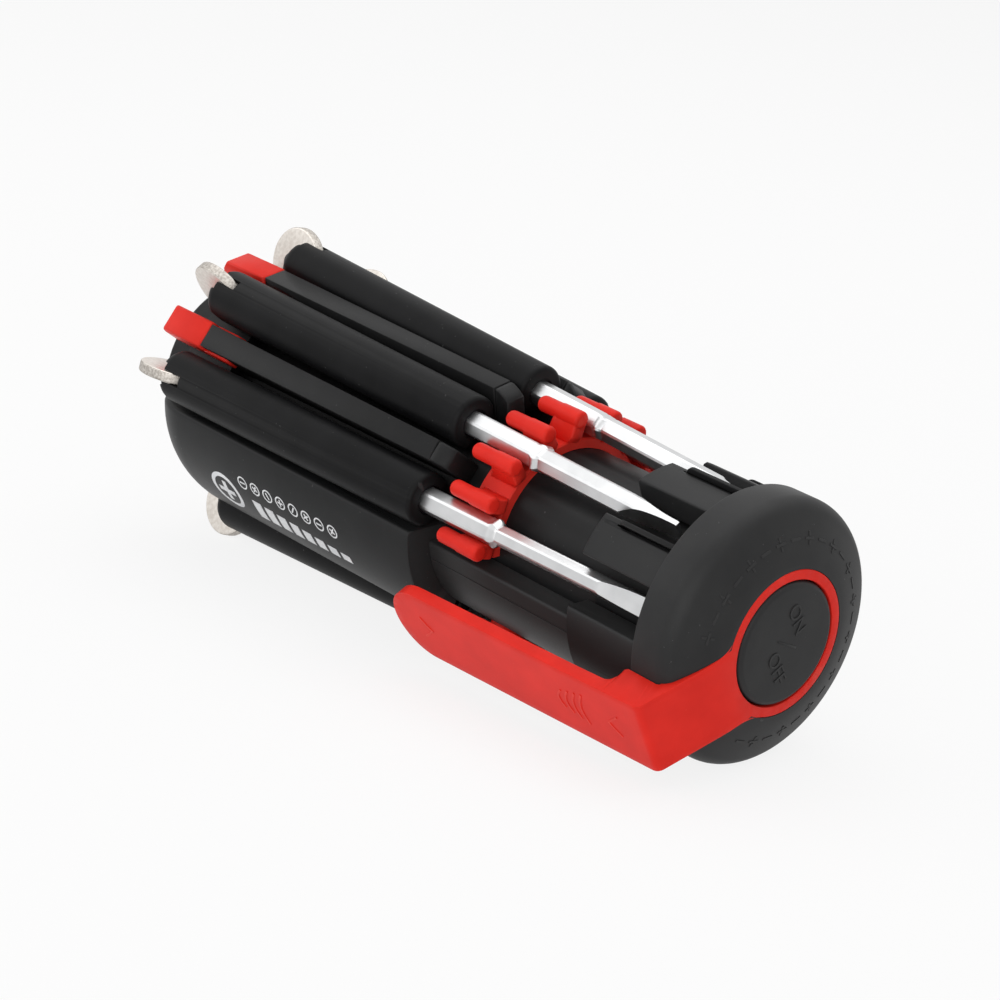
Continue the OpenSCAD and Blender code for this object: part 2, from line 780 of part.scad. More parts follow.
core();
ribs();
guards();
hinge_pins();
panel();
clip_ring();
bezel();
lens();
reflector();
leds();
led_board();
lead_wires();
front_contact();
battery_holder();
batteries();
grip(1);  // grip_1
grip(2);  // grip_2
grip(3);  // grip_3
grip(4);  // grip_4
grip(5);  // grip_5
grip(6);  // grip_6
grip(7);  // grip_7
grip(8);  // grip_8
bit(1);  // bit_1
bit(2);  // bit_2
bit(3);  // bit_3
bit(4);  // bit_4
bit(5);  // bit_5
bit(6);  // bit_6
bit(7);  // bit_7
bit(8);  // bit_8
tongue(1);  // tongue_1
tongue(2);  // tongue_2
tongue(3);  // tongue_3
tongue(4);  // tongue_4
tongue(5);  // tongue_5
tongue(6);  // tongue_6
tongue(7);  // tongue_7
tongue(8);  // tongue_8
lock_slide(1);  // lock_slide_1
lock_slide(2);  // lock_slide_2
lock_slide(3);  // lock_slide_3
lock_slide(4);  // lock_slide_4
lock_slide(5);  // lock_slide_5
lock_slide(6);  // lock_slide_6
lock_slide(7);  // lock_slide_7
cap();
clip();
switch_body();
tail_contact();
button();
return_spring();
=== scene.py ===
import json
from math import atan2, cos, hypot, pi, radians, sin, sqrt, tan
import bmesh
import bpy
from mathutils import Matrix, Vector, geometry


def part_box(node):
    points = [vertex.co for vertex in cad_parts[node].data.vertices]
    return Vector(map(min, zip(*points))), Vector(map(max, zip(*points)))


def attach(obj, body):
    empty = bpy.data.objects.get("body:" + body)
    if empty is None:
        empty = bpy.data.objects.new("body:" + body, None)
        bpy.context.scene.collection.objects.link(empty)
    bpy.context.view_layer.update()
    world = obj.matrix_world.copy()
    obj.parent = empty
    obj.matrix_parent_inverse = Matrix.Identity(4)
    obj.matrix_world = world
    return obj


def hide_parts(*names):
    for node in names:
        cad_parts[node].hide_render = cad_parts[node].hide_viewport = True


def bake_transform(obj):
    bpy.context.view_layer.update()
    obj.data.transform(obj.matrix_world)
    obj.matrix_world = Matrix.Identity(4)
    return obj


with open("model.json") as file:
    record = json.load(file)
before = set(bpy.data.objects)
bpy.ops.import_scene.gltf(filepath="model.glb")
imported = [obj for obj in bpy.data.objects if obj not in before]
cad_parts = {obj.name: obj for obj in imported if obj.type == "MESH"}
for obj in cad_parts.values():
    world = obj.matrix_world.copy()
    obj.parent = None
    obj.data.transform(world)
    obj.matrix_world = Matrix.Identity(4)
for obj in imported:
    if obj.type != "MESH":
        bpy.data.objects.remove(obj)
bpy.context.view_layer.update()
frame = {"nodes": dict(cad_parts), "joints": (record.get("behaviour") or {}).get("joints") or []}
nodes = frame["nodes"]
print("frame loaded with", len(nodes), "nodes")

mm = 0.001
fullTurn = 2 * pi
armCount, ribCount = 8, 7
armLean = radians(2.8)  # folded arms lean in towards the cap
hubDrop = 3.2  # the cap's hub reaches past its rim
folds = {j["child"]: j["pos_m"] for j in frame["joints"] if j["name"].endswith("_fold")}
pivotX = folds["arm_1"][0] / mm
pivotR = hypot(folds["arm_1"][1], folds["arm_1"][2]) / mm
armTurns = []
for number in range(1, armCount + 1):
    spot = folds["arm_%d" % number]
    turn = atan2(-spot[1], spot[2])
    while armTurns and turn > armTurns[-1]:
        turn -= fullTurn
    armTurns.append(turn)
ribTurns = [(armTurns[k] + armTurns[k + 1]) / 2 for k in range(ribCount)]
panelTurn = (armTurns[0] + armTurns[-1] + fullTurn) / 2
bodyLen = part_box("clip")[1][0] / mm
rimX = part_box("cap")[0][0] / mm + hubDrop


# shape helpers, all in millimetres
def turned(a):
    return Matrix.Rotation(a, 4, "X")


def armPlace(k):
    pivot = Matrix.Translation((pivotX * mm, 0, pivotR * mm))
    return turned(armTurns[k]) @ pivot @ Matrix.Rotation(armLean, 4, "Y")


def mixUp(a, b, t):
    return a + (b - a) * t


def quarter(steps):
    # sine and cosine in even steps through a quarter turn
    turns = [pi / 2 * s / steps for s in range(steps + 1)]
    return [(sin(a), cos(a)) for a in turns]


def circle(steps):
    # cosine and sine in even steps round a full turn
    turns = [fullTurn * s / steps for s in range(steps)]
    return [(cos(a), sin(a)) for a in turns]


def arc(cx, cy, r, a0, a1, steps):
    turns = [radians(a0 + (a1 - a0) * s / steps) for s in range(steps + 1)]
    return [(cx + r * cos(a), cy + r * sin(a)) for a in turns]


def addObject(name, data):
    thing = bpy.data.objects.new(name, data)
    bpy.context.scene.collection.objects.link(thing)
    return thing


def makePiece(name, shape, place=None):
    points, faces = shape
    mesh = bpy.data.meshes.new(name)
    mesh.from_pydata([(p[0] * mm, p[1] * mm, p[2] * mm) for p in points], [], faces)
    work = bmesh.new()
    work.from_mesh(mesh)
    bmesh.ops.remove_doubles(work, verts=work.verts, dist=1e-7)
    bmesh.ops.recalc_face_normals(work, faces=work.faces)
    work.to_mesh(mesh)
    work.free()
    piece = addObject(name, mesh)
    if place is not None:
        piece.matrix_world = place
    return piece


def loft(rings, closed=False):
    size = len(rings[0])
    points = [p for ring in rings for p in ring]
    faces = []
    for a in range(len(rings) if closed else len(rings) - 1):
        b = (a + 1) % len(rings)
        for k in range(size):
            m = (k + 1) % size
            faces.append((a * size + k, a * size + m, b * size + m, b * size + k))
    if not closed:
        faces.append(tuple(reversed(range(size))))
        faces.append(tuple((len(rings) - 1) * size + k for k in range(size)))
    return points, faces


def onRound(x, r, a):
    return (x, -r * sin(a), r * cos(a))


def lathe(profile, steps=96):
    turns = [fullTurn * s / steps for s in range(steps)]
    return loft([[onRound(x, r, a) for x, r in profile] for a in turns], True)


def sector(profile, middle, half, edge, steps, low):
    # a turned profile over an arc; what lies above the low radius is rounded along both sides
    outer = max(r for x, r in profile)
    soft = edge / outer
    ease = [soft * (1 - c) for s, c in quarter(5)[:5]]
    turns = [-half + e for e in ease]
    turns += [-half + soft + (2 * half - 2 * soft) * s / steps for s in range(steps + 1)]
    turns += [half - e for e in reversed(ease)]
    rings = []
    for t in turns:
        d = min((half - abs(t)) * outer, edge)
        drop = edge - sqrt(max(edge ** 2 - (edge - d) ** 2, 0))
        rings.append([onRound(x, r - drop if r > low else r, middle + t) for x, r in profile])
    return loft(rings)


def prism(outline, low, high):
    # an outline in x and z, drawn out along y
    return loft([[(x, y, z) for x, z in outline] for y in (low, high)])


def box(low, high):
    outline = [(low[0], low[2]), (high[0], low[2]), (high[0], high[2]), (low[0], high[2])]
    return prism(outline, low[1], high[1])


def strap(x0, x1, r0, r1):
    return [(x0, r0), (x0, r1), (x1, r1), (x1, r0)]


def soften(piece, width, segments=3, angle=35):
    edge = piece.modifiers.new("edge", "BEVEL")
    edge.width = width * mm
    edge.segments = segments
    edge.limit_method = "ANGLE"
    edge.angle_limit = radians(angle)
    edge.harden_normals = True
    edge.use_clamp_overlap = True
    return piece


def evaluatedMesh(piece):
    graph = bpy.context.evaluated_depsgraph_get()
    return bpy.data.meshes.new_from_object(piece.evaluated_get(graph))


def bake(piece):
    mesh = evaluatedMesh(piece)
    piece.modifiers.clear()
    piece.data = mesh


def combine(piece, other, way="DIFFERENCE"):
    step = piece.modifiers.new("combine", "BOOLEAN")
    step.operation = way
    step.solver = "EXACT"
    step.object = other
    bpy.context.view_layer.update()
    bake(piece)
    bpy.data.objects.remove(other)


def join(name, pieces):
    # one piece from several, each with its own finished edges
    bpy.context.view_layer.update()
    work = bmesh.new()
    for piece in pieces:
        bake(piece)
        piece.data.transform(piece.matrix_world)
        work.from_mesh(piece.data)
        bpy.data.objects.remove(piece)
    mesh = bpy.data.meshes.new(name)
    work.to_mesh(mesh)
    work.free()
    return addObject(name, mesh)


def smoothFaces(mesh):
    for face in mesh.polygons:
        face.use_smooth = True


def settle(piece, body, material, replaced=(), smooth=38):
    mesh = piece.data
    mesh.transform(piece.matrix_world)
    piece.matrix_world = Matrix()
    smoothFaces(mesh)
    if smooth:
        mesh.set_sharp_from_angle(angle=radians(smooth))
    mesh.materials.clear()
    mesh.materials.append(material)
    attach(piece, body)
    if replaced:
        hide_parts(*replaced)


def settleOnArm(piece, k, kind, material, smooth=38):
    piece.matrix_world = armPlace(k)
    settle(piece, "arm_%d" % (k + 1), material, ["%s_%d" % (kind, k + 1)], smooth)


# materials
grainDeep = 0.02


def startMaterial(name):
    material = bpy.data.materials.new(name)
    material.use_nodes = True
    tree = material.node_tree
    shader = tree.nodes["Principled BSDF"]
    where = tree.nodes.new("ShaderNodeTexCoord")
    return material, tree, shader, where


def noise(tree, where, scale, detail, stretch=None):
    node = tree.nodes.new("ShaderNodeTexNoise")
    node.inputs["Scale"].default_value = scale
    node.inputs["Detail"].default_value = detail
    spot = where.outputs["Object"]
    if stretch:
        mapping = tree.nodes.new("ShaderNodeMapping")
        mapping.inputs["Scale"].default_value = stretch
        tree.links.new(spot, mapping.inputs["Vector"])
        spot = mapping.outputs["Vector"]
    tree.links.new(spot, node.inputs["Vector"])
    return node.outputs["Fac"]


def ramp(tree, source, spots, colours):
    node = tree.nodes.new("ShaderNodeValToRGB")
    tree.links.new(source, node.inputs["Fac"])
    for stop, at, colour in zip(node.color_ramp.elements, spots, colours):
        stop.position = at
        stop.color = (*colour, 1)
    return node.outputs["Color"]


def fade(tree, source, start, end, amount):
    # black to a grey of the given amount
    return ramp(tree, source, (start, end), ((0, 0, 0), (amount,) * 3))


def spread(tree, source, low, high):
    node = tree.nodes.new("ShaderNodeMapRange")
    tree.links.new(source, node.inputs["Value"])
    node.inputs["To Min"].default_value = low
    node.inputs["To Max"].default_value = high
    return node.outputs["Result"]


def overlay(tree, factor, under, colour):
    node = tree.nodes.new("ShaderNodeMix")
    node.data_type = "RGBA"
    tree.links.new(factor, node.inputs["Factor"])
    tree.links.new(under, node.inputs[6])
    node.inputs[7].default_value = (*colour, 1)
    return node.outputs[2]


def bump(tree, shader, source, strength):
    node = tree.nodes.new("ShaderNodeBump")
    node.inputs["Strength"].default_value = strength
    node.inputs["Distance"].default_value = grainDeep * mm
    tree.links.new(source, node.inputs["Height"])
    tree.links.new(node.outputs["Normal"], shader.inputs["Normal"])


def plastic(name, look):
    # mottled colour, pale edges that are partly wear and partly a painted highlight, specks, uneven gloss and
    # a fine grain
    material, tree, shader, where = startMaterial(name)
    broad = noise(tree, where, look["broad"], 4.0)
    fine = noise(tree, where, look["fine"], 6.0)
    dust = noise(tree, where, look["dust"], 2.0)
    shade = ramp(tree, broad, look["span"], (look["dark"], look["light"]))
    points = tree.nodes.new("ShaderNodeNewGeometry").outputs["Pointiness"]
    # pale colour painted on sharp edges: part real wear, part a painted edge highlight
    edgeWearAndSheen = fade(tree, points, look["wearAndSheenFrom"], look["wearAndSheenTo"], look["wearAndSheen"])
    edged = overlay(tree, edgeWearAndSheen, shade, look["edge"])
    specks = fade(tree, dust, look["speckFrom"], look["speckTo"], look["speck"])
    dusted = overlay(tree, specks, edged, look["edge"])
    tree.links.new(dusted, shader.inputs["Base Color"])
    tree.links.new(spread(tree, fine, *look["rough"]), shader.inputs["Roughness"])
    shader.inputs["Specular IOR Level"].default_value = look["gloss"]
    bump(tree, shader, fine, look["grain"])
    return material


def metal(name, look):
    # long grain along the piece, with tarnish in broad patches
    material, tree, shader, where = startMaterial(name)
    grain = noise(tree, where, 1.0, 5.0, look["stretch"])
    broad = noise(tree, where, look["broad"], 3.0)
    shade = ramp(tree, broad, look["span"], (look["dark"], look["light"]))
    tree.links.new(shade, shader.inputs["Base Color"])
    shader.inputs["Metallic"].default_value = 1.0
    tree.links.new(spread(tree, grain, *look["rough"]), shader.inputs["Roughness"])
    bump(tree, shader, grain, look["grain"])
    return material


def clear(name, look):
    # clear plastic with a slight haze
    material, tree, shader, where = startMaterial(name)
    haze = noise(tree, where, look["broad"], 3.0)
    tint = ramp(tree, haze, look["span"], (look["dark"], look["light"]))
    tree.links.new(tint, shader.inputs["Base Color"])
    tree.links.new(spread(tree, haze, *look["rough"]), shader.inputs["Roughness"])
    shader.inputs["Transmission Weight"].default_value = look["through"]
    shader.inputs["IOR"].default_value = look["bend"]
    return material


# the edge colour goes on sharp edges as wear and painted highlight, and on the dust specks
blackLook = dict(
    dark=(0.004, 0.004, 0.0043), light=(0.0075, 0.0075, 0.008), edge=(0.1, 0.1, 0.1),
    span=(0.3, 0.7), broad=160, fine=5200, dust=1500, speckFrom=0.74, speckTo=0.77, speck=0.5,
    wearAndSheen=0.3, wearAndSheenFrom=0.52, wearAndSheenTo=0.62, rough=(0.38, 0.54), gloss=0.14, grain=0.12)
steelLook = dict(dark=(0.57, 0.575, 0.58), light=(0.63, 0.635, 0.64), span=(0.35, 0.65), broad=300,
                 stretch=(90, 4200, 4200), rough=(0.28, 0.4), grain=0.12)
nickelLook = dict(steelLook, dark=(0.62, 0.575, 0.525), light=(0.74, 0.7, 0.65), broad=1500,
                  stretch=(2600, 2600, 2600), rough=(0.3, 0.46), grain=0.3)
clearLook = dict(dark=(0.93, 0.96, 0.97), light=(0.98, 0.99, 1.0), span=(0.3, 0.7), broad=900,
                 rough=(0.0, 0.06), through=0.95, bend=1.49)
blackPlastic = plastic("blackPlastic", blackLook)
gripPlastic = plastic("gripPlastic", dict(
    blackLook, dark=(0.0035, 0.0035, 0.0038), light=(0.0065, 0.0065, 0.007), rough=(0.4, 0.52), gloss=0.09))
capPlastic = plastic("capPlastic", dict(
    blackLook, dark=(0.017, 0.017, 0.0175), light=(0.023, 0.023, 0.0232), rough=(0.46, 0.58), gloss=0.2,
    fine=7000, grain=0.16, wearAndSheen=0.1))
panelPlastic = plastic("panelPlastic", dict(
    blackLook, dark=(0.011, 0.0113, 0.0117), light=(0.015, 0.0154, 0.016), rough=(0.34, 0.46)))
redPlastic = plastic("redPlastic", dict(
    blackLook, dark=(0.7, 0.02, 0.012), light=(0.8, 0.026, 0.016), edge=(0.85, 0.1, 0.07), speck=0.25,
    rough=(0.36, 0.48), gloss=0.12, grain=0.08))
whiteInk = plastic("whiteInk", dict(
    blackLook, dark=(0.72, 0.73, 0.75), light=(0.86, 0.87, 0.88), edge=(0.5, 0.5, 0.52), rough=(0.3, 0.5)))
boardGreen = plastic("boardGreen", dict(
    blackLook, dark=(0.02, 0.11, 0.04), light=(0.03, 0.16, 0.06), edge=(0.4, 0.45, 0.4)))
cellWrap = plastic("cellWrap", dict(
    blackLook, dark=(0.08, 0.17, 0.3), light=(0.11, 0.22, 0.38), edge=(0.6, 0.6, 0.65), rough=(0.2, 0.35)))
chipYellow = plastic("chipYellow", dict(
    blackLook, dark=(0.8, 0.62, 0.08), light=(0.9, 0.74, 0.16), edge=(1, 0.9, 0.5), rough=(0.3, 0.5)))
steel = metal("steel", steelLook)
nickel = metal("nickel", nickelLook)
stamped = metal("stamped", dict(  # the torn grain of a punched edge
    nickelLook, dark=(0.33, 0.3, 0.27), light=(0.56, 0.53, 0.49), broad=2600, rough=(0.4, 0.6), grain=0.6))
mirror = metal("mirror", dict(
    steelLook, dark=(0.82, 0.83, 0.84), light=(0.9, 0.9, 0.91), stretch=(900, 900, 900), rough=(0.04, 0.1),
    grain=0.02))
clearLens = clear("clearLens", clearLook)
print("materials made")

# pieces that follow the construction's own form, with smooth round faces
plain = dict(
    bodyTube=("core", "core", "black_plastic", blackPlastic),
    hingePins=("hinge_pins", "core", "nickel_steel", nickel),
    reflectorDish=("reflector", "core", "mirror_plating", mirror),
    ledDomes=("leds", "core", "led_body", clearLens),
    lampBoard=("led_board", "core", "board", boardGreen),
    leadWires=("lead_wires", "core", "red_plastic", redPlastic),
    cellHolder=("battery_holder", "core", "black_plastic", blackPlastic),
    cells=("batteries", "core", "cell_wrap", cellWrap),
    switchBody=("switch_body", "cap", "black_plastic", blackPlastic))
for name, (node, body, slot, material) in plain.items():
    mesh = nodes[node].data
    shape = [v.co / mm for v in mesh.vertices], [tuple(face.vertices) for face in mesh.polygons]
    settle(makePiece(name, shape), body, material, [node], 30)
print("plain pieces made")

# grips
grip = dict(
    back=4.4, crown=24, seam=0.045, under=3.0, underHalf=3.4, underEase=0.8, foot=0.8, footIn=0.6,
    start=-0.3, end=63.3, noseRound=2.6, noseLow=1.1, tailRound=0.8,
    well=2.45, wellFloor=2.35, wellDeep=0.25,
    forkHalf=2.05, forkEnd=1.85, slotHalf=0.97, slotEnd=6.2, cutLow=-5, cutHigh=6)
gripEndX = pivotX + grip["end"] * cos(armLean)


def gripRing(x, inset, lowInset):
    g = grip
    ring = []
    for s in range(2 * g["crown"] + 1):
        a = pi * s / (2 * g["crown"])
        r = g["back"] - inset + (g["seam"] if s == g["crown"] else 0)  # parting line along the crown
        ring.append((x, r * cos(a), r * sin(a)))
    side = g["underHalf"] - lowInset * g["underEase"] - g["footIn"]
    low = g["foot"] - (g["under"] - lowInset)
    for y, a in ((-side, 200), (side, 270)):
        ring += [(x, *p) for p in arc(y, low, g["foot"], a, a + 70, 5)]
    return ring


def gripShape():
    g = grip
    rings = []
    for s, c in quarter(8):
        x = g["start"] + g["noseRound"] * (1 - s)
        rings.append(gripRing(x, g["noseRound"] * (1 - c), g["noseLow"] * (1 - c)))
    rings.reverse()
    for s, c in quarter(5):
        inset = g["tailRound"] * (1 - c)
        rings.append(gripRing(g["end"] - g["tailRound"] * (1 - s), inset, inset))
    turns = [atan2(p[2], p[1]) for p in rings[0]]
    for r, x in ((g["well"], g["end"]), (g["wellFloor"], g["end"] - g["wellDeep"])):
        rings.append([(x, r * cos(a), r * sin(a)) for a in turns])
    return loft(rings)


for k in range(armCount):
    g = grip
    piece = makePiece("grip%d" % (k + 1), gripShape())
    for name, start, end, half in (("fork", g["start"], g["forkEnd"], g["forkHalf"]),
                                   ("slot", g["forkEnd"], g["slotEnd"], g["slotHalf"])):
        gap = box((start - 1, -half, g["cutLow"]), (end, half, g["cutHigh"]))
        combine(piece, makePiece(name, gap))
    settleOnArm(piece, k, "grip", gripPlastic)
print("grips made")

# tongues
tongue = dict(r=6.1, half=0.9, edge=0.3, eye=1.05, tangFrom=3.0, tangEnd=15.0, tangHalf=2.2, tangIn=0.02,
              rimFrom=0.8)


def tongueShape():
    t = tongue
    r, half = t["r"] - t["edge"], t["half"] - t["edge"]
    profile = [(-t["half"], t["eye"])]
    profile += [(x, y) for y, x in arc(r, -half, t["edge"], 270, 360, 4)]
    profile += [(x, y) for y, x in arc(r, half, t["edge"], 0, 90, 4)]
    profile += [(t["half"], t["eye"])]
    points, faces = lathe(profile)
    return [(p[2], p[0], p[1]) for p in points], faces


for k in range(armCount):
    t = tongue
    piece = makePiece("tongue%d" % (k + 1), tongueShape())
    half = t["half"] - t["tangIn"]
    tang = box((t["tangFrom"], -half, -t["tangHalf"]), (t["tangEnd"], half, t["tangHalf"]))
    combine(piece, makePiece("tang", tang), "UNION")
    settleOnArm(piece, k, "tongue", nickel)
    piece.data.materials.append(stamped)
    across = armPlace(k).to_3x3() @ Vector((0, 1, 0))
    for face in piece.data.polygons:
        face.material_index = 1 if abs(face.normal.dot(across)) < t["rimFrom"] else 0
print("tongues made")

# bits; reach, shaft, kind and turn are listed from the first arm to the eighth
bits = dict(
    root=2.19, rootFrom=19.6, rootEase=0.3, crimp=2.4, crimpAt=77.3, crimpLen=1.7, squeeze=0.13,
    neck=0.866, neckLen=0.8, crossLen=6.5, crossEnd=0.6, flute=0.5,
    ground=11.2, hollow=2.3, tipHalf=0.38, edge=0.06,
    shaft=(1.7, 2.05, 2.05, 2.05, 1.9, 2.05, 1.9, 2.05),
    reach=(110.15, 106.9, 108.5, 107.4, 109.1, 108.0, 108.5, 106.9),
    slotted=(1, 1, 0, 1, 0, 1, 0, 0), turns=(0, 90, 45, 90, 0, 0, 45, 0))


def hexRing(x, r, soft=0.1):
    # six flats, one of them on top, four points to a corner
    flat = pi / 6
    ring = []
    for k in range(6):
        for side in (-2.4, -1, 1, 2.4):
            a = 2 * flat * k + side * soft
            reach = r * cos(flat) / cos(flat - abs(side) * soft)
            ring.append((x, reach * cos(a), reach * sin(a)))
    return ring


def bitShape(k):
    b = bits
    root, shaft, reach, at = b["root"], b["shaft"][k], b["reach"][k], b["crimpAt"]
    crimpEnd = at + b["crimpLen"]
    rings = [hexRing(b["rootFrom"], root * 0.9), hexRing(b["rootFrom"] + b["rootEase"], root),
             hexRing(at - 0.5, root), hexRing(at - 0.1, root * 0.97)]
    for s in range(1, 8):
        swell = sin(pi * s / 8)
        r = root + (shaft - root) * s / 8 + (b["crimp"] - root) * swell
        pinch = 1 - b["squeeze"] * swell  # squeezed on two sides
        ring = hexRing(at + b["crimpLen"] * s / 8, r, 0.12)
        rings.append([(x, y * (1.9 - 0.9 * pinch), z * pinch) for x, y, z in ring])
    rings += [hexRing(crimpEnd, shaft * 0.97), hexRing(crimpEnd + 0.4, shaft)]
    if b["slotted"][k]:
        return loft(rings + [hexRing(reach - 0.25, shaft), hexRing(reach, shaft * 0.93)])
    start = reach - b["crossLen"]
    neck, neckEnd = shaft * b["neck"], start + b["neckLen"]
    rings += [hexRing(start, shaft), hexRing(neckEnd, neck, 0.13)]
    for share in (0.2, 0.4, 0.6, 0.8, 1.0):
        r = mixUp(neck, b["crossEnd"], share)
        ring = []
        for x, y, z in hexRing(neckEnd + (b["crossLen"] - b["neckLen"]) * share, 1.0):
            a = atan2(z, y)
            flutes = sin(2 * a - radians(2 * b["turns"][k])) ** 4  # four round the tip
            wing = r * (1 - b["flute"] * share * flutes)
            ring.append((x, wing * cos(a), wing * sin(a)))
        rings.append(ring)
    return loft(rings)


def wheelShape(k, side):
    # what the grinding wheel takes from one side of a slotted blade
    b = bits
    reach, low, high, clearOf = b["reach"][k], b["tipHalf"], b["shaft"][k] + 0.02, 4
    start = reach - b["ground"]
    curve = []
    for s in range(17):
        t = s / 16
        curve.append((start + b["ground"] * t, side * (low + (high - low) * (1 - t) ** b["hollow"])))
    curve += [(reach + 1, side * low), (reach + 1, side * clearOf), (start, side * clearOf)]
    return prism(curve, -clearOf, clearOf)


for k in range(armCount):
    piece = makePiece("bit%d" % (k + 1), bitShape(k))
    if bits["slotted"][k]:
        for side in (-1, 1):
            combine(piece, makePiece("wheel", wheelShape(k, side), turned(radians(bits["turns"][k]))))
    soften(piece, bits["edge"], 2, 28)
    settleOnArm(piece, k, "bit", steel, 28)
print("bits made")

# ribs
rib = dict(
    lampHalf=2.1, capHalf=1.7, start=5.0, ledge=17.2, lampX=13.85, high=22.2, low=21.2, short=1.0,
    seam=0.16, foot=13.95, collar=16.68, collarEnd=17.05, chamfer=0.35, wideOnes=3, backShare=0.8,
    grooveHalf=2.45, grooveIn=1.25, grooveOut=3.2, grooveLow=17.2, grooveHigh=20.65, grooveEnd=19.8,
    nose=3.0, noseLine=((0, 0.02), (0.9, 0.1), (2.1, 0.75), (3.0, 1.6)))
ribEnd = gripEndX - rib["short"]


def ribShare(k):
    return 1.0 if k < rib["wideOnes"] else rib["backShare"]  # narrower at the back


def ribHalf(x, share):
    along = (x - rib["start"]) / (ribEnd + rib["nose"] - rib["start"])
    return share * mixUp(rib["lampHalf"], rib["capHalf"], along)


def ribPart(name, outline, share):
    points, faces = prism(outline, -1, 1)
    return makePiece(name, ([(x, y * ribHalf(x, share), z) for x, y, z in points], faces))


ribPieces = []
for k in range(ribCount):
    r, share, bodyEnd = rib, ribShare(k), ribEnd - rib["seam"]
    outline = [(r["start"], r["collar"]), (r["start"], r["ledge"]), (r["lampX"], r["ledge"]),
               (r["lampX"], r["high"]), (bodyEnd, r["low"]), (bodyEnd, r["foot"]),
               (r["collarEnd"], r["foot"]), (r["collarEnd"], r["collar"])]
    main = ribPart("ribMain", outline, share)
    for side in (-1, 1):
        y0, y1 = sorted((side * (share * r["grooveHalf"] - r["grooveIn"]), side * r["grooveOut"]))
        groove = box((r["lampX"] - 0.5, y0, r["grooveLow"]), (r["grooveEnd"], y1, r["grooveHigh"]))
        combine(main, makePiece("groove", groove))
    outline = [(ribEnd, r["foot"])] + [(ribEnd + along, r["low"] - down) for along, down in r["noseLine"]]
    nose = ribPart("ribNose", outline + [(ribEnd + r["nose"], r["foot"])], share)
    for part in (main, nose):
        soften(part, r["chamfer"])
        part.matrix_world = turned(ribTurns[k])
    ribPieces += [main, nose]
piece = join("ribs", ribPieces)
settle(piece, "core", blackPlastic, ["ribs"], 0)
print("ribs made")

# lock slides
slide = dict(x=2.1, end=13.7, low=17.36, high=22.2, half=2.45, slant=1.5, slantLong=1.2, edge=0.42,
             prongLen=5.8, prongT=1.1, prongTop=20.5, prongH=3.0, prongIn=0.8, prongEdge=0.22)
for k in range(ribCount):
    s = slide
    half = s["half"] * ribShare(k)
    outline = [(s["x"], s["low"]), (s["x"], s["high"] - s["slant"]), (s["x"] + s["slantLong"], s["high"]),
               (s["end"], s["high"]), (s["end"], s["low"])]
    parts = [soften(makePiece("slideBlock", prism(outline, -half, half)), s["edge"])]
    start, end = s["end"] - s["prongIn"], s["end"] + s["prongLen"]
    top, low = s["prongTop"], s["prongTop"] - s["prongH"]
    outline = [(start, low), (start, top), (end - s["prongIn"], top), (end, top - s["prongIn"]), (end, low)]
    for side in (-1, 1):
        y0, y1 = sorted((side * (half - s["prongT"]), side * half))
        parts.append(soften(makePiece("prong", prism(outline, y0, y1)), s["prongEdge"]))
    for part in parts:
        part.matrix_world = turned(ribTurns[k])
    piece = join("lockSlide%d" % (k + 1), parts)
    settle(piece, "lock_%d" % (k + 1), redPlastic, ["lock_slide_%d" % (k + 1)], 0)
print("lock slides made")

# panel with its print
panel = dict(x=4.0, short=0.6, high=22.0, low=21.4, half=27.0, roundX=8.5, roundR=5.0, edge=0.8,
             softFrom=16.7, inner=16.68, tube=13.86, step=17.2, endLine=((0.5, 0), (0.15, 0.15), (0, 0.5)))
panelEnd = gripEndX - panel["short"]


def panelProfile():
    p = panel
    outer = [(p["x"] + p["roundX"] * (1 - c), p["high"] - p["roundR"] * (1 - s)) for s, c in quarter(12)]
    outer += [(panelEnd - back, p["low"] - down) for back, down in p["endLine"]]
    return outer + [(panelEnd, p["tube"]), (p["step"], p["tube"]),
                    (p["step"], p["inner"]), (p["x"], p["inner"])]


panelShape = sector(panelProfile(), panelTurn, radians(panel["half"]), panel["edge"], 40,
                    panel["softFrom"])
piece = makePiece("panel", panelShape)
settle(piece, "core", panelPlastic, ["panel"], 30)

inkLayer = dict(rise=0.03, sink=0.08, across=6)
inkSign = dict(rim=0.78, bar=1.1, wide=0.26, sideBar=0.42, sideAt=0.34)  # shares of a screw head's radius
printRow = dict(count=8, bigX=23.0, bigS=1.65, bigR=3.9, headX=29.3, headStep=3.4, headS=-2.7, headR=1.25,
                headTurn=30.0, barX=31.6, barStep=3.25, barS=2.5, barLong=2.3, barWide=4.2, barLess=0.36)


def panelR(x):
    straight = panel["x"] + panel["roundX"]
    return mixUp(panel["high"], panel["low"], (x - straight) / (panelEnd - straight))


def inkStrip(left, right):
    # thin closed strip of print between two rows of points along the panel
    last = inkLayer["across"]
    rings = []
    for (xa, sa), (xb, sb) in zip(left, right):
        ring = []
        for rise, steps in ((inkLayer["rise"], range(last + 1)), (-inkLayer["sink"], range(last, -1, -1))):
            for k in steps:
                x, s = mixUp(xa, xb, k / last), mixUp(sa, sb, k / last)
                ring.append(onRound(x, panelR(x) + rise, panelTurn + s / panelR(x)))
        rings.append(ring)
    return rings


def inkRing(x, s, r0, r1, steps=40):
    left, right = [[(x + r * c, s + r * d) for c, d in circle(steps)] for r in (r0, r1)]
    return loft(inkStrip(left, right), True)


def inkBar(x, s, long, wide, turn=0.0, steps=6):
    c, d = cos(radians(turn)), sin(radians(turn))
    left, right = [], []
    for k in range(steps + 1):
        t = long * (k / steps - 0.5)
        left.append((x + t * c - wide / 2 * d, s + t * d + wide / 2 * c))
        right.append((x + t * c + wide / 2 * d, s + t * d - wide / 2 * c))
    return loft(inkStrip(left, right))


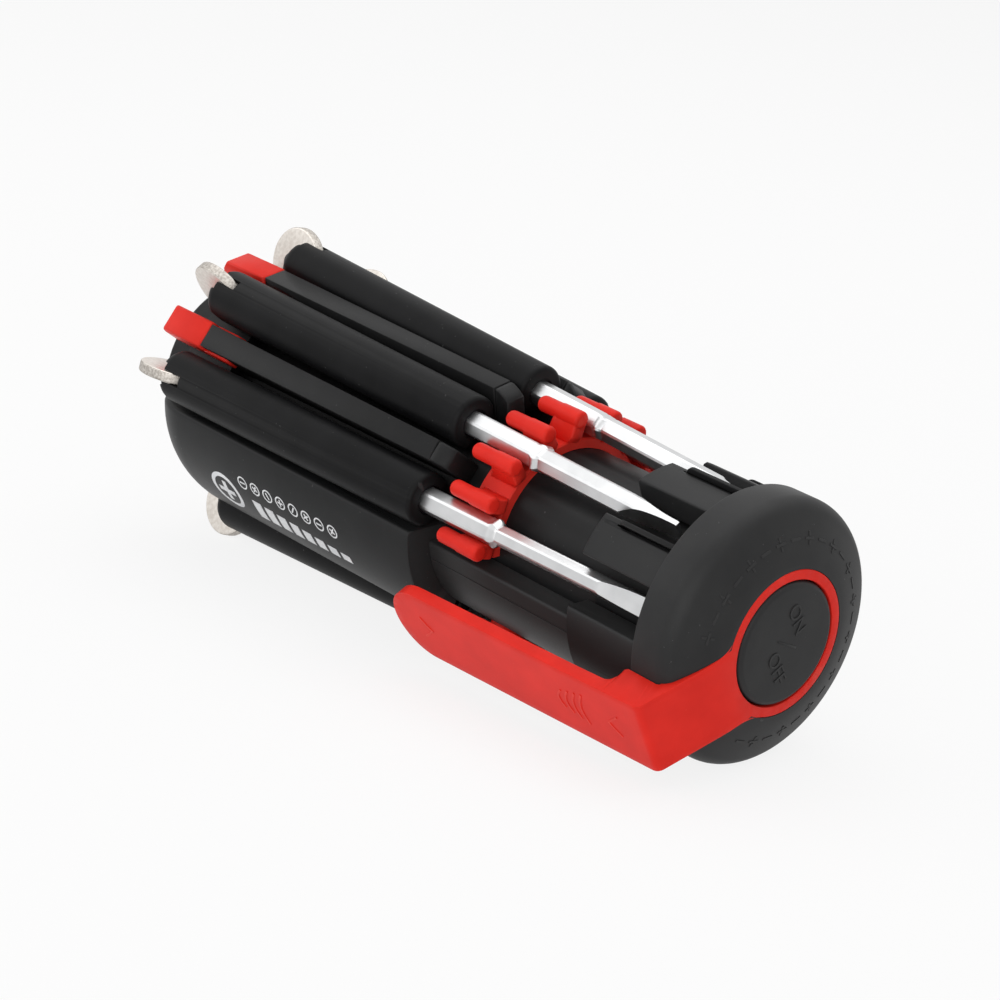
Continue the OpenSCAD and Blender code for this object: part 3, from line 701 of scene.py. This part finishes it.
def inkHead(x, s, r, cross, turn=0.0):
    # screw head seen from above, slotted or cross
    i = inkSign
    shapes = [inkRing(x, s, r * i["rim"], r), inkBar(x, s, r * i["bar"], r * i["wide"], turn)]
    away = radians(turn + 90)
    for side in (-1, 1) if cross else ():
        at = side * r * i["sideAt"]
        shapes.append(inkBar(x + at * cos(away), s + at * sin(away),
                             r * i["sideBar"], r * i["wide"], turn + 90))
    return shapes


p = printRow
ink = inkHead(p["bigX"], p["bigS"], p["bigR"], True)
for n in range(p["count"]):
    ink += inkHead(p["headX"] + p["headStep"] * n, p["headS"], p["headR"], n % 2, p["headTurn"] * n)
    barWide = p["barWide"] - p["barLess"] * n
    ink.append(inkBar(p["barX"] + p["barStep"] * n, p["barS"], p["barLong"], barWide))
piece = join("panelPrint", [makePiece("ink", shape) for shape in ink])
settle(piece, "core", whiteInk, (), 30)
print("panel made")

# guard fingers, the wall under the clip and their ring; the fingers start a share of the way to the jaws
jaws = dict(
    gap=5.5, wide=6.6, long=9.2, r=1.4, rise=0.42, side=2.35, open=24.0, slim=0.92,
    tube=13.86, band=15.44, bandEdge=0.24, bandSide=0.3, softFrom=15.0,
    webFoot=14.6, webWaist=(16.2, 15.8), webIn=0.02, webOut=0.72, webEdge=0.3)
guard = dict(
    outer=18.95, inner=14.6, half=10.5, share=0.446, space=4.05, tip=0.3, tipLow=1.2, softFrom=18.0,
    scoop=((6.0, 0), (4.2, 0.15), (2.4, 0.5)), over=20,
    slitFrom=3.4, slitTo=0.4, slitFloor=17.4, slitLow=2.35, slitHigh=2.62,
    tabX=4.9, tabZ=18.3, tabR=1.3, tabEnd=0.1, tabGap=0.05, tabHigh=3.4, tabEdge=0.15,
    wideHalf=28.0, wideEdge=0.4,
    notchLong=2.4, notchIn=0.1, notchLow=-2.2, notchHigh=0.9, notchFloor=17.2,
    wallHalf=22.8, wallTurn=3.6, wallR=17.3, wallGap=0.15, wallIn=0.5, wallEdge=0.5, wallSoft=14.5,
    seamTurn=9.0, seamHalf=0.5, seamIn=0.4, seamSink=0.1, seamRise=0.08, seamEdge=0.03,
    seamSoft=16.3, ringR=16.8, ringGap=0.15, tube=13.86)
g = guard
ringX = gripEndX + jaws["gap"]
midX = ringX + jaws["wide"] / 2
jawEnd = midX + jaws["long"] / 2
fingerX = rimX - g["share"] * (rimX - jawEnd)
fingerEnd = rimX + g["space"]
top, low = g["outer"], g["inner"]
tipLine = [(fingerX, top - g["tip"]), (fingerX + g["tip"], top), (fingerEnd, top), (fingerEnd, low)]
scoop = [(fingerX + along, low + up) for along, up in g["scoop"]]  # hollow under the free end
fingerProfile = [(fingerX, low + g["tipLow"])] + tipLine + scoop
guardPieces = []
for k in range(ribCount):
    share, place = ribShare(k), turned(ribTurns[k])
    shape = sector(fingerProfile, ribTurns[k], radians(g["half"]) * share, g["tip"], 10, g["softFrom"])
    finger = makePiece("finger", shape)
    slit = box((fingerX + g["slitFrom"], g["slitLow"] * share, g["slitFloor"]),
               (rimX + g["slitTo"], g["slitHigh"] * share, g["over"]))
    combine(finger, makePiece("slit", slit, place))
    tabEnd = rimX - g["tabEnd"]
    outline = [(tabEnd, g["tabZ"] - g["tabR"]), (tabEnd, g["tabZ"] + g["tabR"])]
    outline += arc(fingerX + g["tabX"], g["tabZ"], g["tabR"], 90, 270, 8)
    tab = prism(outline, (g["slitHigh"] + g["tabGap"]) * share, g["tabHigh"] * share)
    guardPieces += [finger, soften(makePiece("tab", tab, place), g["tabEdge"])]
shape = sector([(fingerX, low)] + tipLine, panelTurn, radians(g["wideHalf"]), g["wideEdge"], 30,
               g["softFrom"])
wideFinger = makePiece("wideFinger", shape)
notch = box((rimX - g["notchLong"], g["notchLow"], g["notchFloor"]),
            (rimX + g["notchIn"], g["notchHigh"], g["over"]))
combine(wideFinger, makePiece("notch", notch, turned(panelTurn)))
guardPieces.append(wideFinger)
wallX = panelEnd + g["wallGap"]
profile = strap(wallX, fingerX + g["wallIn"], g["tube"], g["wallR"])
shape = sector(profile, panelTurn + radians(g["wallTurn"]), radians(g["wallHalf"]),
               g["wallEdge"], 24, g["wallSoft"])
guardPieces.append(makePiece("wall", shape))
profile = strap(wallX + g["seamIn"], fingerX + g["seamIn"],
                g["wallR"] - g["seamSink"], g["wallR"] + g["seamRise"])
shape = sector(profile, panelTurn - radians(g["seamTurn"]), radians(g["seamHalf"]),
               g["seamEdge"], 2, g["seamSoft"])
guardPieces.append(makePiece("seam", shape))
guardRing = lathe(strap(rimX + g["ringGap"], fingerEnd - g["ringGap"], g["tube"], g["ringR"]))
guardPieces.append(makePiece("guardRing", guardRing))
piece = join("guards", guardPieces)
settle(piece, "core", blackPlastic, ["guards"], 32)
print("guards made")

# clip ring with a pair of round jaws for each bit
jawZ = pivotR - (midX - pivotX) * tan(armLean) + jaws["rise"]
jawY = jaws["side"] + jaws["r"]
jawHalf = jaws["long"] / 2


def rodShape(y, z, steps=24):
    # round bar with eased ends, a little stouter over the half that stands on its web
    r, slim = jaws["r"], jaws["slim"] * jaws["r"]
    profile = [(midX - jawHalf + 0.6 * r * (1 - c), slim * (0.5 + 0.5 * s)) for s, c in quarter(5)]
    profile += [(midX - 0.3, slim), (midX + 0.1, r)]
    profile += [(midX + jawHalf - 0.4 * r * (1 - c), r * (0.6 + 0.4 * s)) for s, c in reversed(quarter(5))]
    return loft([[(px, y + pr * c, z + pr * s) for c, s in circle(steps)] for px, pr in profile])


j = jaws
bandEnd, bandLow = ringX + j["wide"], j["band"] - j["bandEdge"]
band = [(ringX, j["tube"]), (ringX, bandLow), (ringX + j["bandEdge"], j["band"]),
        (bandEnd - j["bandEdge"], j["band"]), (bandEnd, bandLow), (bandEnd, j["tube"])]
shape = sector(band, panelTurn + pi, pi - radians(j["open"]), j["bandSide"], 96, j["softFrom"])
ringPieces = [makePiece("band", shape)]
outline = [(midX - 2.6, j["webFoot"]), (midX - 1.2, j["webWaist"][0]), (midX - 0.6, jawZ),
           (midX + jawHalf - 0.25, jawZ), (midX + jawHalf - 0.5, j["webWaist"][1]),
           (midX + 3.3, j["webFoot"])]
for k in range(armCount):
    place = turned(armTurns[k])
    for side in (-1, 1):
        ringPieces.append(makePiece("rod", rodShape(side * jawY, jawZ), place))
        y0, y1 = sorted((side * (jawY - j["r"] + j["webIn"]), side * (jawY + j["r"] * j["webOut"])))
        ringPieces.append(soften(makePiece("web", prism(outline, y0, y1), place), j["webEdge"]))
piece = join("clipRing", ringPieces)
settle(piece, "core", redPlastic, ["clip_ring"], 40)
print("clip ring made")

# cap, with a channel for the clip
cap = dict(
    r=20.6, wall=1.5, space=4.2, edge=3.0, dome=2.4, domeCurve=1.45, hub=12.3, hubWall=1.7, hole=9.75,
    ring=11.36, ringDeep=2.04, buttonWall=1.6, rim=((0, 0.35), (0.1, 0.1), (0.35, 0)),
    markR=15.6, markRise=0.1, markSink=0.4, markEase=0.06, marks=26, markFrom=42, markSpan=276,
    markWide=0.45, markLong=2.0, markArm=0.78, markOut=0.62)
clip = dict(
    ring=11.3, hole=9.75, t=2.0, half=6.6, bendR=24.6, drop=3.9, ease=3.0, freeR=26.8, long=57.0,
    fillet=6.0, edge=0.42, bend=1.1, bendLong=1.7, gap=0.05, sideGap=0.07, seatGap=0.06,
    flatFrom=9.0, flatTo=13.0, hookIn=0.6, hookRound=1.6, hookFoot=4.4, hookCorner=5.2, hookRise=6.0,
    hookLong=2.4, armFrom=12.0, grid=1.1, endGrid=1.6)
ridges = dict(count=4, at=11.0, step=1.5, bow=0.9, half=3.0, less=0.4, wide=0.45, rise=0.12)
arrows = dict(fromEnd=8.5, fromBend=6.4, long=2.2, half=2.0, wide=0.4)


def capFace():
    # outer line from the rim over the rounded edge to the ring
    edge = cap["edge"]
    edgeX = bodyLen - cap["dome"] - edge
    points = [(rimX + along, cap["r"] - down) for along, down in cap["rim"]]
    points += [(edgeX + edge * s, cap["r"] - edge * (1 - c)) for s, c in quarter(12)[:10]]
    fromX, fromR = points[-1]
    for s in range(1, 13):
        t = s / 12
        x = fromX + (bodyLen - fromX) * (1 - (1 - t) ** cap["domeCurve"])
        points.append((x, mixUp(fromR, cap["ring"], t)))
    return points


def capX(r):
    line = [p for p in capFace() if p[0] > rimX + 1]
    for (xa, ra), (xb, rb) in zip(line, line[1:]):
        if rb <= r <= ra and ra > rb:
            return xa + (xb - xa) * (ra - r) / (ra - rb)
    return bodyLen


def capProfile():
    c = cap
    seatX, hubX, roofX = bodyLen - c["ringDeep"], rimX - hubDrop, rimX + c["space"]
    backX = seatX - c["buttonWall"]
    hubIn, rimIn = c["hub"] - c["hubWall"], c["r"] - c["wall"]
    return capFace() + [(seatX, c["ring"]), (seatX, c["hole"]), (backX, c["hole"]), (backX, hubIn),
                        (hubX, hubIn), (hubX, c["hub"]), (roofX, c["hub"]), (roofX, rimIn), (rimX, rimIn)]


def clipDrop(u):
    slope = clip["drop"] / (clip["bendR"] - clip["ring"])
    past, ease = u - clip["ring"], clip["ease"]
    if past < -ease:
        return 0.0
    return slope * (past + ease) ** 2 / (4 * ease) if past < ease else slope * past


def capMark(r, a, across, along):
    # low raised bar that follows the face of the cap
    points = []
    for rise, ease in ((-cap["markSink"], 0), (cap["markRise"], cap["markEase"])):
        for i, j in ((-1, -1), (1, -1), (1, 1), (-1, 1)):
            rr = r + i * (across / 2 - ease)
            points.append(onRound(capX(rr) + rise, rr, a + j * (along / 2 - ease) / rr))
    return points, [(3, 2, 1, 0), (4, 5, 6, 7), (0, 1, 5, 4), (1, 2, 6, 5), (2, 3, 7, 6), (3, 0, 4, 7)]


capPiece = makePiece("cap", lathe(capProfile(), 192))
reaches = [0] + [8 + 0.75 * s for s in range(18)]
floorLine = [(bodyLen - clip["t"] - clip["gap"] - clipDrop(u), u) for u in reaches]
outline = floorLine + [(bodyLen + 2, floorLine[-1][1]), (bodyLen + 2, 0)]
half = clip["half"] + clip["sideGap"]
combine(capPiece, makePiece("channel", prism(outline, -half, half), turned(panelTurn)))
marks = []
for n in range(cap["marks"]):
    a = panelTurn + radians(cap["markFrom"] + cap["markSpan"] * n / (cap["marks"] - 1))
    marks.append(capMark(cap["markR"], a, cap["markWide"], cap["markLong"]))
    for side in (-1, 1) if n % 2 else ():
        marks.append(capMark(cap["markR"] + side * cap["markOut"], a, cap["markArm"], cap["markWide"]))
piece = join("cap", [capPiece] + [makePiece("mark", shape) for shape in marks])
settle(piece, "cap", capPlastic, ["cap"], 32)
print("cap made")

# pocket clip: one bent strip with a hook under the bend, drawn flat first and then laid along its path
c = clip
slopeLen = hypot(1, c["drop"] / (c["bendR"] - c["ring"]))
freeX = bodyLen - c["long"]
cornerX = bodyLen - c["drop"]
bendFrom = c["bendR"] - c["bend"] / slopeLen
bendTo = bendFrom + c["bendLong"]
armRise = (c["freeR"] - c["bendR"]) / (cornerX - freeX)
armFromX = cornerX - c["bend"]
armLen = armFromX - freeX
hookX = rimX - c["hookIn"]


def curveAt(p0, p1, p2, t):
    return tuple((1 - t) ** 2 * a + 2 * t * (1 - t) * b + t * t * d for a, b, d in zip(p0, p1, p2))


def armR(x):
    return c["bendR"] + armRise * (cornerX - x)


def clipOuter(s):
    if s <= bendFrom:
        return (bodyLen - clipDrop(s), s)
    if s <= bendTo:
        start, end = clipOuter(bendFrom), (armFromX, armR(armFromX))
        return curveAt(start, (cornerX, c["bendR"]), end, (s - bendFrom) / (bendTo - bendFrom))
    x = armFromX - (s - bendTo)
    return (x, armR(x))


def underStrip(r):
    return (bodyLen - c["t"] - clipDrop(r), r)


def clipInner(s, v):
    # under the strip, along the cap's side, up the front of the hook and on under the arm
    if s <= 0 or c["flatFrom"] <= s <= c["flatTo"]:
        return underStrip(s)
    seat = sqrt((cap["r"] + c["seatGap"]) ** 2 - v * v)
    stops = [(u, underStrip(u)) for u in (0.0, c["flatFrom"], c["flatTo"])]
    stops += [(bendFrom - 1.2, underStrip(seat - 0.2)), (bendFrom, (underStrip(seat)[0] - 0.4, seat)),
              (bendTo + c["hookFoot"], (hookX + 0.4, seat)), (bendTo + c["hookCorner"], (hookX, seat + 0.4))]
    top, bow = armR(hookX) - c["t"], c["hookRound"]
    for k, (up, out) in enumerate(quarter(6)):
        at = bendTo + c["hookRise"] + c["hookLong"] * k / 6
        stops.append((at, (hookX - bow * (1 - out), top - bow * (1 - up))))
    armX = armFromX - c["armFrom"]
    stops += [(bendTo + c["armFrom"], (armX, armR(armX) - c["t"])),
              (bendTo + armLen, (freeX, c["freeR"] - c["t"]))]
    for (s0, p0), (s1, p1) in zip(stops, stops[1:]):
        if s <= s1:
            t = (s - s0) / (s1 - s0)
            return (mixUp(p0[0], p1[0], t), mixUp(p0[1], p1[1], t))
    return stops[-1][1]


centreU = sqrt((c["ring"] + c["fillet"]) ** 2 - (c["half"] + c["fillet"]) ** 2)
endS = bendTo + armLen - c["half"]
rows = [mixUp(centreU, bendFrom - 1.2, k / 8) for k in range(9)] + [bendFrom - 0.6]
rows += [mixUp(bendFrom, bendTo, k / 8) for k in range(9)]
rows += [bendTo + d for d in (1.1, 2.2, 3.3, c["hookFoot"], 4.8, c["hookCorner"], 5.6)]
rows += [bendTo + c["hookRise"] + 0.4 * k for k in range(7)] + [bendTo + 10.2]
rows += [mixUp(bendTo + c["armFrom"], endS, k / 12) for k in range(13)]


def clipOutline():
    fillet, half = c["fillet"], c["half"]
    touch = atan2(half + fillet, centreU)
    turns = [touch + (fullTurn - 2 * touch) * k / 48 for k in range(49)]
    line = [(c["ring"] * cos(a), c["ring"] * sin(a)) for a in turns]
    turns = [pi - touch + (touch - pi / 2) * k / 8 for k in range(1, 8)]
    edge = [(centreU + fillet * cos(a), half + fillet - fillet * sin(a)) for a in turns]
    edge += [(s, half) for s in rows]
    line += [(s, -v) for s, v in edge]
    turns = [pi * k / 24 for k in range(1, 24)]
    line += [(endS + half * sin(a), -half * cos(a)) for a in turns]
    return line + edge[::-1]


def bentSheet(loops, inside):
    # flat outline with holes, filled with small triangles, then laid on both faces of the clip
    points, edges = [], []
    for loop in loops:
        first = len(points)
        points += [Vector(p) for p in loop]
        edges += [(first + k, first + (k + 1) % len(loop)) for k in range(len(loop))]
    points += [Vector(p) for p in inside]
    filled = geometry.delaunay_2d_cdt(points, edges, [], 2, 1e-5)
    flat, tris = filled[0], []
    for t in filled[2]:
        middle = sum((flat[k] for k in t), Vector((0, 0))) / 3
        if middle.length > c["hole"]:  # the ring stays open
            tris.append(tuple(t))
    places = []
    for way in (lambda s, v: clipOuter(s), clipInner):
        for s, v in flat:
            x, r = way(s, v)
            places.append((x, v, r))
    size = len(flat)
    faces = tris + [tuple(size + k for k in reversed(t)) for t in tris]
    seen = {}
    for t in tris:
        for pair in ((t[0], t[1]), (t[1], t[2]), (t[2], t[0])):
            seen.setdefault((min(pair), max(pair)), []).append(pair)
    rims = [pairs[0] for pairs in seen.values() if len(pairs) == 1]
    faces += [(b, a, size + a, size + b) for a, b in rims]
    return places, faces


grid, endGrid = c["grid"], c["endGrid"]
inside = [(s, grid * j) for s in rows for j in range(-5, 6) if hypot(s, grid * j) > c["hole"] + 1.0]
inside += [(endS + endGrid * k, grid * j) for k in range(1, 4) for j in range(-4, 5)
           if hypot(endGrid * k, grid * j) < c["half"] - 0.9]
holeLoop = [(c["hole"] * a, c["hole"] * b) for a, b in circle(96)]
strip = makePiece("strip", bentSheet([clipOutline(), holeLoop], inside), turned(panelTurn))
parts = [soften(strip, c["edge"], 4, 45)]


def clipMark(line, wide):
    # low ridge along a line on the clip's outer face
    rise, sink = ridges["rise"], -0.2
    rings = []
    for k, (s, v) in enumerate(line):
        before, after = line[max(k - 1, 0)], line[min(k + 1, len(line) - 1)]
        ds, dv = after[0] - before[0], after[1] - before[1]
        size = hypot(ds, dv)
        ns, nv = -dv / size * wide / 2, ds / size * wide / 2
        ring = []
        for side, up in ((-1, sink), (-0.8, rise * 0.7), (0, rise), (0.8, rise * 0.7), (1, sink)):
            x, r = clipOuter(s + side * ns)
            ring.append((x, v + side * nv, r + up))
        rings.append(ring)
    return loft(rings)


for n in range(ridges["count"]):
    at, half = bendTo + ridges["at"] + ridges["step"] * n, ridges["half"] - ridges["less"] * n
    line = [(at + ridges["bow"] * sin(pi * t / 8), mixUp(-half, half, t / 8)) for t in range(9)]
    parts.append(makePiece("ridge", clipMark(line, ridges["wide"]), turned(panelTurn)))
for tip, back in ((bendTo + armLen - arrows["fromEnd"], -1), (bendTo + arrows["fromBend"], 1)):
    for side in (-1, 1):
        line = [(tip - back * arrows["long"] * t / 4, side * arrows["half"] * t / 4) for t in range(5)]
        parts.append(makePiece("arrow", clipMark(line, arrows["wide"]), turned(panelTurn)))
piece = join("clip", parts)
settle(piece, "cap", redPlastic, ["clip"], 40)
print("clip made")

# button with plain raised words and a bar between them
button = dict(
    r=9.5, rise=0.5, flangeR=10.4, flangeT=1.2, edge=0.9, edgeIn=0.02, flat=(0.7, 0.3, 0),
    word=3.3, wordRise=0.13, words=(("ON", -2.6, 1.9), ("OFF", 2.3, -4.0)),
    bar=((-2.2, -0.16, -0.13), (2.2, 0.16, 0.12)), barTurn=38, barEdge=0.05)
b = button
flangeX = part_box("button")[0][0] / mm
faceX = bodyLen + b["rise"] - b["wordRise"]
profile = [(flangeX, 0), (flangeX, b["flangeR"]), (flangeX + b["flangeT"], b["flangeR"]),
           (flangeX + b["flangeT"], b["r"])]
profile += [(faceX - b["edge"] * (1 - s) - b["edgeIn"], b["r"] - b["edge"] * (1 - c)) for s, c in quarter(8)]
profile += [(faceX, b["r"] * share) for share in b["flat"]]
parts = [makePiece("button", lathe(profile, 160))]
upright = Matrix(((0, 0, 1, 0), (1, 0, 0, 0), (0, 1, 0, 0), (0, 0, 0, 1)))
wordPlace = turned(panelTurn + pi) @ Matrix.Translation((faceX * mm, 0, 0)) @ upright
for word, right, up in b["words"]:
    curve = bpy.data.curves.new("word", "FONT")
    curve.body = word
    curve.size = b["word"] * mm
    curve.align_x = "CENTER"
    curve.extrude = b["wordRise"] * mm
    letters = addObject("word", curve)
    bpy.context.view_layer.update()
    mesh = evaluatedMesh(letters)
    bpy.data.objects.remove(letters)
    piece = addObject("word", mesh)
    piece.matrix_world = wordPlace @ Matrix.Translation((right * mm, up * mm, 0))
    parts.append(piece)
bar = makePiece("bar", box(*b["bar"]), wordPlace @ Matrix.Rotation(radians(b["barTurn"]), 4, "Z"))
parts.append(soften(bar, b["barEdge"]))
piece = join("button", parts)
settle(piece, "button", capPlastic, ["button"], 32)
print("button made")

# bezel and lens
bezel = dict(r=16.4, long=4.96, edge=0.9, backEdge=0.2, spigot=14.7, spigotEnd=7.9, bore=12.5, seat=12.99,
             seatDeep=1.8, lip=0.5, lipDeep=0.35)
lampLens = dict(back=1.76, r=12.9,
                front=((0.5, 12.9), (0.38, 12.7), (0.3, 12.4), (0.12, 8.0), (0.03, 4.0), (0, 0)))
z = bezel
profile = [(z["long"], z["r"] - z["backEdge"]), (z["long"] - z["backEdge"], z["r"])]
profile += [(z["edge"] * (1 - s), z["r"] - z["edge"] * (1 - c)) for s, c in quarter(6)]
profile += [(0, z["seat"] + z["lip"]), (z["lipDeep"], z["seat"]), (z["seatDeep"], z["seat"]),
            (z["seatDeep"], z["bore"]), (z["spigotEnd"], z["bore"]), (z["spigotEnd"], z["spigot"]),
            (z["long"], z["spigot"])]
piece = makePiece("bezel", lathe(profile, 128))
settle(piece, "core", blackPlastic, ["bezel"], 32)
profile = [(lampLens["back"], 0), (lampLens["back"], lampLens["r"]), *lampLens["front"]]
piece = makePiece("lens", lathe(profile, 128))
settle(piece, "core", clearLens, ["lens"], 40)
print("lamp end made")

# lamp chips, each in a bright cup inside its clear dome
chip = dict(ring=7.9, count=6, above=3.4, r=1.0, chipR=0.9, t=0.4, gap=0.02,
            cup=1.7, cupDeep=1.0, cupWall=0.15)
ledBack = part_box("leds")[1][0] / mm - chip["above"]
h, w = chip, chip["cupWall"]
cup = [(0, 0), (0, h["r"]), (-h["cupDeep"], h["cup"]), (-h["cupDeep"], h["cup"] + w), (w, h["r"] + w), (w, 0)]
disc = [(-h["t"], 0), (-h["t"], h["chipR"]), (-h["gap"], h["chipR"]), (-h["gap"], 0)]
cups, chips = [], []
for k in range(h["count"]):
    place = turned(fullTurn * k / h["count"]) @ Matrix.Translation((ledBack * mm, 0, h["ring"] * mm))
    cups.append(makePiece("cup", lathe(cup, 32), place))
    chips.append(makePiece("chip", lathe(disc, 24), place))
settle(join("ledCups", cups), "core", mirror)
settle(join("ledChips", chips), "core", chipYellow)
print("lamp chips made")

# coil springs in the place of the construction's plain tubes
springs = dict(wire=0.3, steps=32, around=10,
               turns=dict(front_contact=2.4, tail_contact=2.4, return_spring=3.0))


def coilEnds(node):
    low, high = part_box(node)
    return low[0] / mm + springs["wire"], high[0] / mm - springs["wire"]


def coilShape(node):
    # few enough turns that they stay apart when pressed
    x0, x1 = coilEnds(node)
    w, total = springs["wire"], springs["turns"][node]
    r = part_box(node)[1][1] / mm - w
    count = int(total * springs["steps"])
    rings = []
    for s in range(count + 1):
        x, a = x0 + (x1 - x0) * s / count, fullTurn * total * s / count
        rings.append([onRound(x + w * d, r + w * c, a) for c, d in circle(springs["around"])])
    return loft(rings)


for name, node, body in (("frontContact", "front_contact", "core"), ("tailContact", "tail_contact", "cap")):
    settle(makePiece(name, coilShape(node)), body, nickel, [node], 60)
piece = makePiece("returnSpring", coilShape("return_spring"))
smoothFaces(piece.data)
piece.data.materials.append(nickel)
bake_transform(piece)
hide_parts("return_spring")
print("springs made")

# floor, light and camera, with places in metres
ground = dict(lowArm=26.35, span=118.0, half=3, place=(0.010, 0, -0.0266), colour=(0.88, 0.88, 0.88, 1),
              rough=0.9, glow=0.85)
sky = dict(dim=0.35, bright=1.0)
lights = dict(
    overhead=((0.0, 0.15, 0.8), (0.06, 0, 0), (1.1, 0.9), 4.2),
    front=((0.55, -0.75, 0.25), (0.07, 0, 0), (0.9, 0.7), 3.6),
    lampSide=((-0.5, -0.5, 0.45), (0.05, 0, 0), (0.7, 0.7), 1.4))
view = dict(place=(0.34841, -0.26727, 0.14321), turn=(69.497, -6.585, 48.685), sensor=36, lens=94.06,
            near=0.01)
scene = bpy.context.scene


def seenRays(tree):
    # rays from the camera, and those that metal and glass send on
    path = tree.nodes.new("ShaderNodeLightPath")
    total = path.outputs["Is Camera Ray"]
    for name in ("Is Glossy Ray", "Is Transmission Ray"):
        node = tree.nodes.new("ShaderNodeMath")
        node.operation = "MAXIMUM"
        tree.links.new(total, node.inputs[0])
        tree.links.new(path.outputs[name], node.inputs[1])
        total = node.outputs["Value"]
    return total


floor = bpy.data.meshes.new("floor")
w = ground["half"]
floor.from_pydata([(-w, -w, 0), (w, -w, 0), (w, w, 0), (-w, w, 0)], [], [(0, 1, 2, 3)])
floorPiece = addObject("floor", floor)
floorTilt = atan2(ground["lowArm"] - cap["r"], ground["span"])  # the tool lies on its arms and its cap
floorPiece.matrix_world = Matrix.Translation(ground["place"]) @ Matrix.Rotation(-floorTilt, 4, "Y")
floorLook = bpy.data.materials.new("floorLook")
floorLook.use_nodes = True
tree = floorLook.node_tree
shader = tree.nodes["Principled BSDF"]
shader.inputs["Base Color"].default_value = ground["colour"]
shader.inputs["Roughness"].default_value = ground["rough"]
glow = tree.nodes.new("ShaderNodeEmission")
glow.inputs["Strength"].default_value = 1.0
mix = tree.nodes.new("ShaderNodeMixShader")
tree.links.new(spread(tree, seenRays(tree), 0.0, ground["glow"]), mix.inputs["Fac"])
tree.links.new(shader.outputs["BSDF"], mix.inputs[1])
tree.links.new(glow.outputs["Emission"], mix.inputs[2])
tree.links.new(mix.outputs["Shader"], tree.nodes["Material Output"].inputs["Surface"])
floor.materials.append(floorLook)

world = bpy.data.worlds.new("studio")
scene.world = world
world.use_nodes = True
tree = world.node_tree
background = tree.nodes["Background"]
background.inputs["Color"].default_value = (1, 1, 1, 1)
tree.links.new(spread(tree, seenRays(tree), sky["dim"], sky["bright"]), background.inputs["Strength"])

for name, (place, aim, size, power) in lights.items():
    lamp = bpy.data.lights.new(name, "AREA")
    lamp.shape = "RECTANGLE"
    lamp.size, lamp.size_y = size
    lamp.energy = power
    holder = addObject(name, lamp)
    holder.location = place
    holder.rotation_euler = (Vector(aim) - Vector(place)).to_track_quat("-Z", "Y").to_euler()

scene.view_settings.view_transform = "Standard"
lens = bpy.data.cameras.new("camera")
camera = addObject("camera", lens)
scene.camera = camera
lens.sensor_width = view["sensor"]
lens.lens = view["lens"]
lens.clip_start = view["near"]
camera.location = view["place"]
camera.rotation_euler = [radians(a) for a in view["turn"]]
print("stage made")
